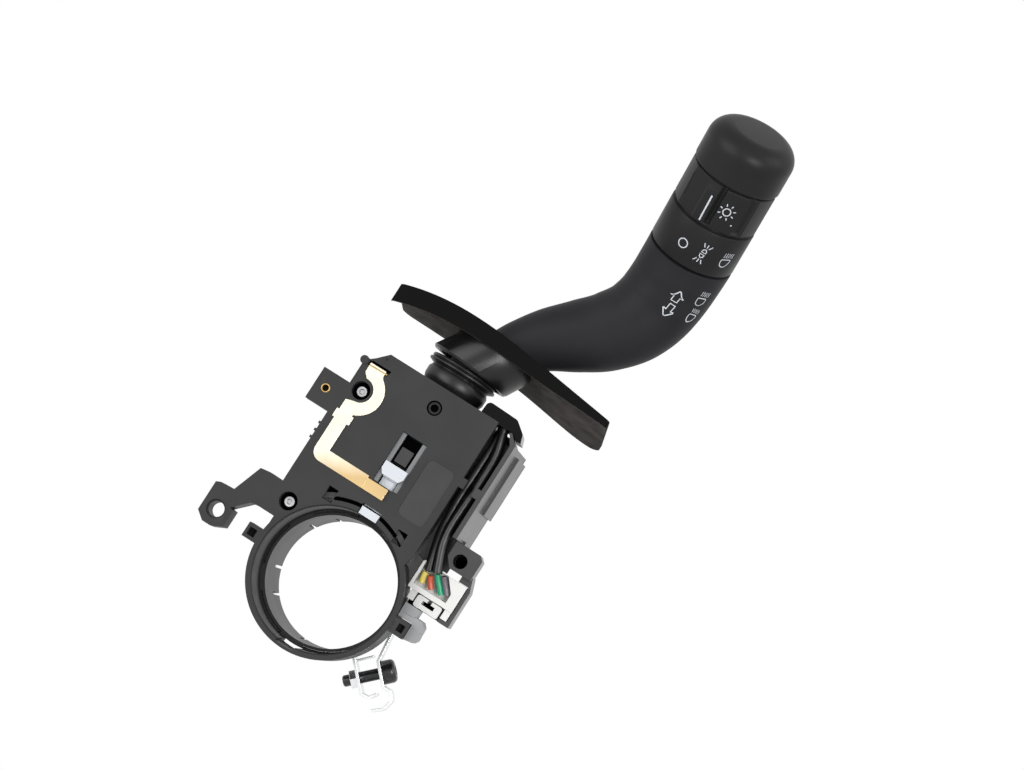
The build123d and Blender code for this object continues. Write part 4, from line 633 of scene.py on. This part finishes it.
def lamp(right, up, slant, size):
    """Lamp outline with its flat side up, and five rays above it, leaning by slant per millimetre."""
    ray_foot, ray_length, ray_shift = 2.1 * size, 1.9 * size, 0.2
    lines = [stroke(moved(scaled(lamp_bowl, size, size), right, up), line_width, closed=True)]
    for place in np.linspace(-1.8, 1.8, 5):
        foot = (size * place + ray_shift, ray_foot)
        tip = (foot[0] + slant * ray_length, foot[1] + ray_length)
        lines.append(stroke(moved([foot, tip], right, up), ray_width))
    return lines


def marks(name, strokes, place, body, finish):
    """Symbols as thin ribbons on a surface; place turns flat (right, up) millimetres into points on it."""
    points, faces, first = [], [], 0
    for left, right in strokes:
        count = len(left)
        flat = np.concatenate([left, right])
        points.append(place(flat[:, 0], flat[:, 1]))
        here = np.arange(count - 1)[:, None]
        faces.append(first + np.hstack([here, here + count, here + count + 1, here + 1]))
        first += 2 * count
    mesh = bpy.data.meshes.new(name)
    mesh.from_pydata((np.concatenate(points) * MM).tolist(), [], np.concatenate(faces).tolist())
    mesh.materials.append(finishes[finish])
    placed(name, mesh, body)


mark_lift = 0.04        # the symbols stand this far above the surface
degree_mm = head_r * math.radians(1)    # one degree round the head


def on_ring(right, up):
    """Flat millimetres to the legend ring; right runs from the driver's side, up from the head's base."""
    return head_points(up, right / head_r, np.full_like(up, head_r + mark_lift))


def on_grip(right, up):
    """Flat millimetres to the knob's grip."""
    angle = right / head_r
    return head_points(up, angle, grip_shape(up, angle, np.full_like(up, grip_r)) + mark_lift)


def on_lever(right, up):
    """Flat millimetres to the lever; up runs to the head's base at 0."""
    return lever_points(lever_over - up, right / head_r, mark_lift)


off_place = (-10.7 * degree_mm, 8.3)
parking_place = (17.4 * degree_mm, 8.5, -8)     # right, up, degrees turned
dipped_place = (51.5 * degree_mm, 7.4)
ring_marks = [stroke(ring_line(off_place, 1.5), bold_width, closed=True)]
for way in (1, -1):
    bulb = [(-0.75, 0.35 * way), (-0.5, 1.25 * way), (0.1, 1.6 * way), (0.65, 1.15 * way), (0.75, 0.35 * way)]
    ring_marks.append(stroke(moved(bulb, *parking_place), line_width, closed=True))
    for lean_to in (-1.0, 0.0, 1.0):
        ray = [(0.75 * lean_to, 2.15 * way), (1.5 * lean_to, 3.4 * way)]
        ring_marks.append(stroke(moved(ray, *parking_place), line_width))
ring_marks += lamp(*dipped_place, slant=0.1, size=0.9)
marks("ring_marks", ring_marks, on_ring, "lever", "natural_nylon")

index_line = [(-7.3 * degree_mm, 17.9), (-7.9 * degree_mm, 27.0)]
sun_place, dot_place = (17.8 * degree_mm, 24.3), (31.2 * degree_mm, 20.7)
sun_ray = [(2.0, 0.0), (2.85, 0.0)]
grip_marks = [stroke(index_line, 0.5), stroke(ring_line(sun_place, 1.25), bold_width, closed=True),
              stroke(ring_line(dot_place, 0.16, 8), 0.22, closed=True)]
for turned_by in range(0, 360, 45):
    grip_marks.append(stroke(moved(sun_ray, *sun_place, turned_by + 22.5), 0.34))
marks("knob_marks", grip_marks, on_grip, "light_knob", "natural_nylon")

arrow = [(0.2, 5.4), (-0.2, 5.4), (-2.45, 3.0), (-2.3, 2.75), (-1.2, 2.9), (-1.2, 0.0), (1.2, 0.0),
         (1.2, 2.9), (2.3, 2.75), (2.45, 3.0)]
arrow_width = 0.38
left_arrow = moved(scaled(arrow, 0.92, 0.94), 19.6 * degree_mm, -13.1)
right_arrow = moved(scaled(arrow, 0.8, 0.8), 22.0 * degree_mm, -14.5, 180)
lever_marks = [stroke(outline, arrow_width, closed=True) for outline in (left_arrow, right_arrow)]
upper_lamp, lower_lamp = (52.8 * degree_mm, -8.7), (57.8 * degree_mm, -15.3)
lever_marks += lamp(*upper_lamp, slant=0.1, size=0.88) + lamp(*lower_lamp, slant=-0.3, size=0.86)
marks("lever_marks", lever_marks, on_lever, "lever", "natural_nylon")


# ---------------------------------------------------------------- seams, cups and recess floors; most are dark sheets and rings of painted shade
plate_face, plate_back = 18.0, 15.4
pivot, boss_bore = (0.0, 63.3), (32.3, 27.2)
plate_screws = ((-22.6, 55.7), (-23.07, 14.41))
cup_floor_z, window_floor_z, boss_floor_z, latch_floor_z = 13.65, 16.7, 4.15, 2.6


def level(height):
    """Place on a flat face at this height."""
    def place(right, up):
        return np.stack([right, up, np.full_like(up, height)], axis=-1)
    return place


def arc(radius, start, end):
    """Points of a circle's part round the column axis."""
    angle = np.radians(np.linspace(start, end, 60))
    return np.stack([radius * np.cos(angle), radius * np.sin(angle)], axis=1)


def tile(name, middle, width, height, corner, top, thick, finish):
    """Rounded rectangle with a flat top: rings of one outline, drawn in to the middle above and below.

    The outline is a circle of the corner's radius whose quarters are moved out to the four corners.
    """
    angles = np.linspace(0, 2 * math.pi, 64, endpoint=False)
    half = np.array([width / 2 - corner, height / 2 - corner])
    circle = np.stack([np.cos(angles), np.sin(angles)], axis=1)
    outline = np.sign(circle) * half + corner * circle
    middle_share = 0.001        # size of the innermost ring
    low = top - thick
    rows = [(middle_share, low), (1.0, low), (1.0, top), (middle_share, top)]
    points = np.stack([np.column_stack([np.array(middle) + outline * share, np.full(len(outline), row_z)])
                       for share, row_z in rows])
    piece = surface(name, points, finish, "housing", None)
    piece.data.set_sharp_from_angle(angle=math.radians(40))


def circles(middles, radius, width):
    """Round lines of this width about each middle."""
    return [stroke(ring_line(middle, radius, 48), width, closed=True) for middle in middles]


def flat_lines(name, strokes, height, finish):
    """Lines on the housing, flat at this height."""
    marks(name, strokes, level(height), "housing", finish)


strip_fold_shade = [(-24.6, 64.05), (-18.2, 64.15)]

# lines: name, strokes, height, finish; tiles: name, middle, width, height, corner, top, thickness, finish
flat_lines("pivot_collar", circles([pivot], 2.78, 0.68), plate_face - 0.04, "housing_plastic")
# painted shade: a dark ring in the gap round the pivot pin and a dark disc in its bore
flat_lines("pivot_seam_shade", circles([pivot], 2.2, 0.5), plate_face - 0.3, "deep_shadow")
tile("pivot_bore_shade", pivot, 2.5, 2.5, 1.25, plate_face - 0.42, 0.02, "deep_shadow")
# painted shade: a dark disc near the bottom of the boss bore
tile("boss_bore_shade", boss_bore, 4.4, 4.4, 2.2, boss_floor_z, 0.05, "deep_shadow")
# painted shade: dark rings in the screw cups
flat_lines("cup_shade_rings", circles(plate_screws, 2.36, 1.25), cup_floor_z, "deep_shadow")
# painted shade: a dark arc under the cut in the ring's wall
flat_lines("ring_cut_shade", [stroke(arc(25.55, 64, 117), 1.25)], plate_back, "deep_shadow")
# painted shade: a darker brass line along the strip's fold
flat_lines("strip_fold_shade", [stroke(strip_fold_shade, 0.45)], plate_face + 0.53, "insert_brass")
# painted shade: a dark sheet for the slot above the brass strip
tile("strip_slot_shade", (-21.1, 65.25), 6.9, 0.95, 0.3, plate_face + 0.03, 0.02, "deep_shadow")
tile("recess_floor", (12.2, 39.4), 9.7, 20.1, 1.95, plate_face - 0.28, 0.02, "recess_plastic")
# painted shade: a dark sheet in the gap at the top of the window
tile("window_gap_shade", (0.1, 47.0), 4.9, 9.4, 0.2, window_floor_z, 0.1, "deep_shadow")
tile("window_block", (0.1, 45.3), 4.2, 5.2, 0.25, window_floor_z + 0.15, 0.12, "recess_plastic")
# painted shade: a dark sheet behind the latch
tile("latch_shade", (30.8, 9.9), 13.6, 4.6, 0.4, latch_floor_z, 0.5, "deep_shadow")


# ---------------------------------------------------------------- floor, light and camera
floor_z = -0.42
fill_light = 0.24       # the world's own light on the object


def lit_and_seen(tree, lit, seen, output):
    """Shader that acts as lit on the object, and shows as seen to the camera and in glossy reflections."""
    rays = tree.nodes.new("ShaderNodeLightPath")
    either = tree.nodes.new("ShaderNodeMath")
    either.operation = "MAXIMUM"
    mix = tree.nodes.new("ShaderNodeMixShader")
    tree.links.new(rays.outputs["Is Camera Ray"], either.inputs[0])
    tree.links.new(rays.outputs["Is Glossy Ray"], either.inputs[1])
    tree.links.new(either.outputs["Value"], mix.inputs["Fac"])
    tree.links.new(lit, mix.inputs[1])
    tree.links.new(seen, mix.inputs[2])
    tree.links.new(mix.outputs["Shader"], output)


bpy.ops.mesh.primitive_plane_add(size=6.0, location=(0, 0.08, floor_z))
floor = bpy.context.object
floor.name = "floor"
floor_material, floor_tree, floor_shader = new_material("pale_floor")
floor_shader.inputs["Base Color"].default_value = (0.5, 0.5, 0.5, 1)
floor_shader.inputs["Roughness"].default_value = 0.7
floor_light = floor_tree.nodes.new("ShaderNodeEmission")
floor_light.inputs["Strength"].default_value = 1.0
lit_and_seen(floor_tree, floor_shader.outputs["BSDF"], floor_light.outputs["Emission"],
             floor_tree.nodes["Material Output"].inputs["Surface"])
floor.data.materials.append(floor_material)

world = bpy.data.worlds.new("studio")
bpy.context.scene.world = world
world.use_nodes = True
sky_tree = world.node_tree
sky = sky_tree.nodes["Background"]
sky_seen = sky_tree.nodes.new("ShaderNodeBackground")
for background, strength in ((sky, fill_light), (sky_seen, 1.0)):
    background.inputs["Color"].default_value = (1, 1, 1, 1)
    background.inputs["Strength"].default_value = strength
lit_and_seen(sky_tree, sky.outputs["Background"], sky_seen.outputs["Background"],
             sky_tree.nodes["World Output"].inputs["Surface"])

forward = (Vector(camera_target_mm) - Vector(camera_place_mm)).normalized()
to_lever = Vector((0, 1, 0))
lever_way = (to_lever - forward * to_lever.dot(forward)).normalized()
lever_right = forward.cross(lever_way)
turn = math.radians(camera_turn_deg)
image_up = math.cos(turn) * lever_way - math.sin(turn) * lever_right
image_right = forward.cross(image_up)
camera_data = bpy.data.cameras.new("camera")
camera_data.lens = camera_lens
camera_data.sensor_width = 36.0
camera_data.clip_end = 20.0
camera = bpy.data.objects.new("camera", camera_data)
camera.matrix_world = Matrix.Translation(Vector(camera_place_mm) * MM) @ Matrix(
    (image_right, image_up, -forward)).transposed().to_4x4()
bpy.context.scene.collection.objects.link(camera)
bpy.context.scene.camera = camera


def soft_light(name, across, up, near, size, power):
    """Square light placed from the camera's target by the camera's own right, up and back, in metres."""
    light = bpy.data.lights.new(name, "AREA")
    light.size = size
    light.energy = power
    light_object = bpy.data.objects.new(name, light)
    middle = Vector(camera_target_mm) * MM
    place = middle + image_right * across + image_up * up - forward * near
    facing = (place - middle).to_track_quat("Z", "Y").to_matrix().to_4x4()
    light_object.matrix_world = Matrix.Translation(place) @ facing
    bpy.context.scene.collection.objects.link(light_object)


soft_light("key", -0.8, 0.5, 0.8, 0.9, 9.5)
soft_light("front", 0.36, -0.1, 1.0, 0.4, 7.0)
soft_light("side", 1.0, 0.2, 0.35, 0.6, 3.0)

bpy.context.scene.view_settings.view_transform = "Standard"
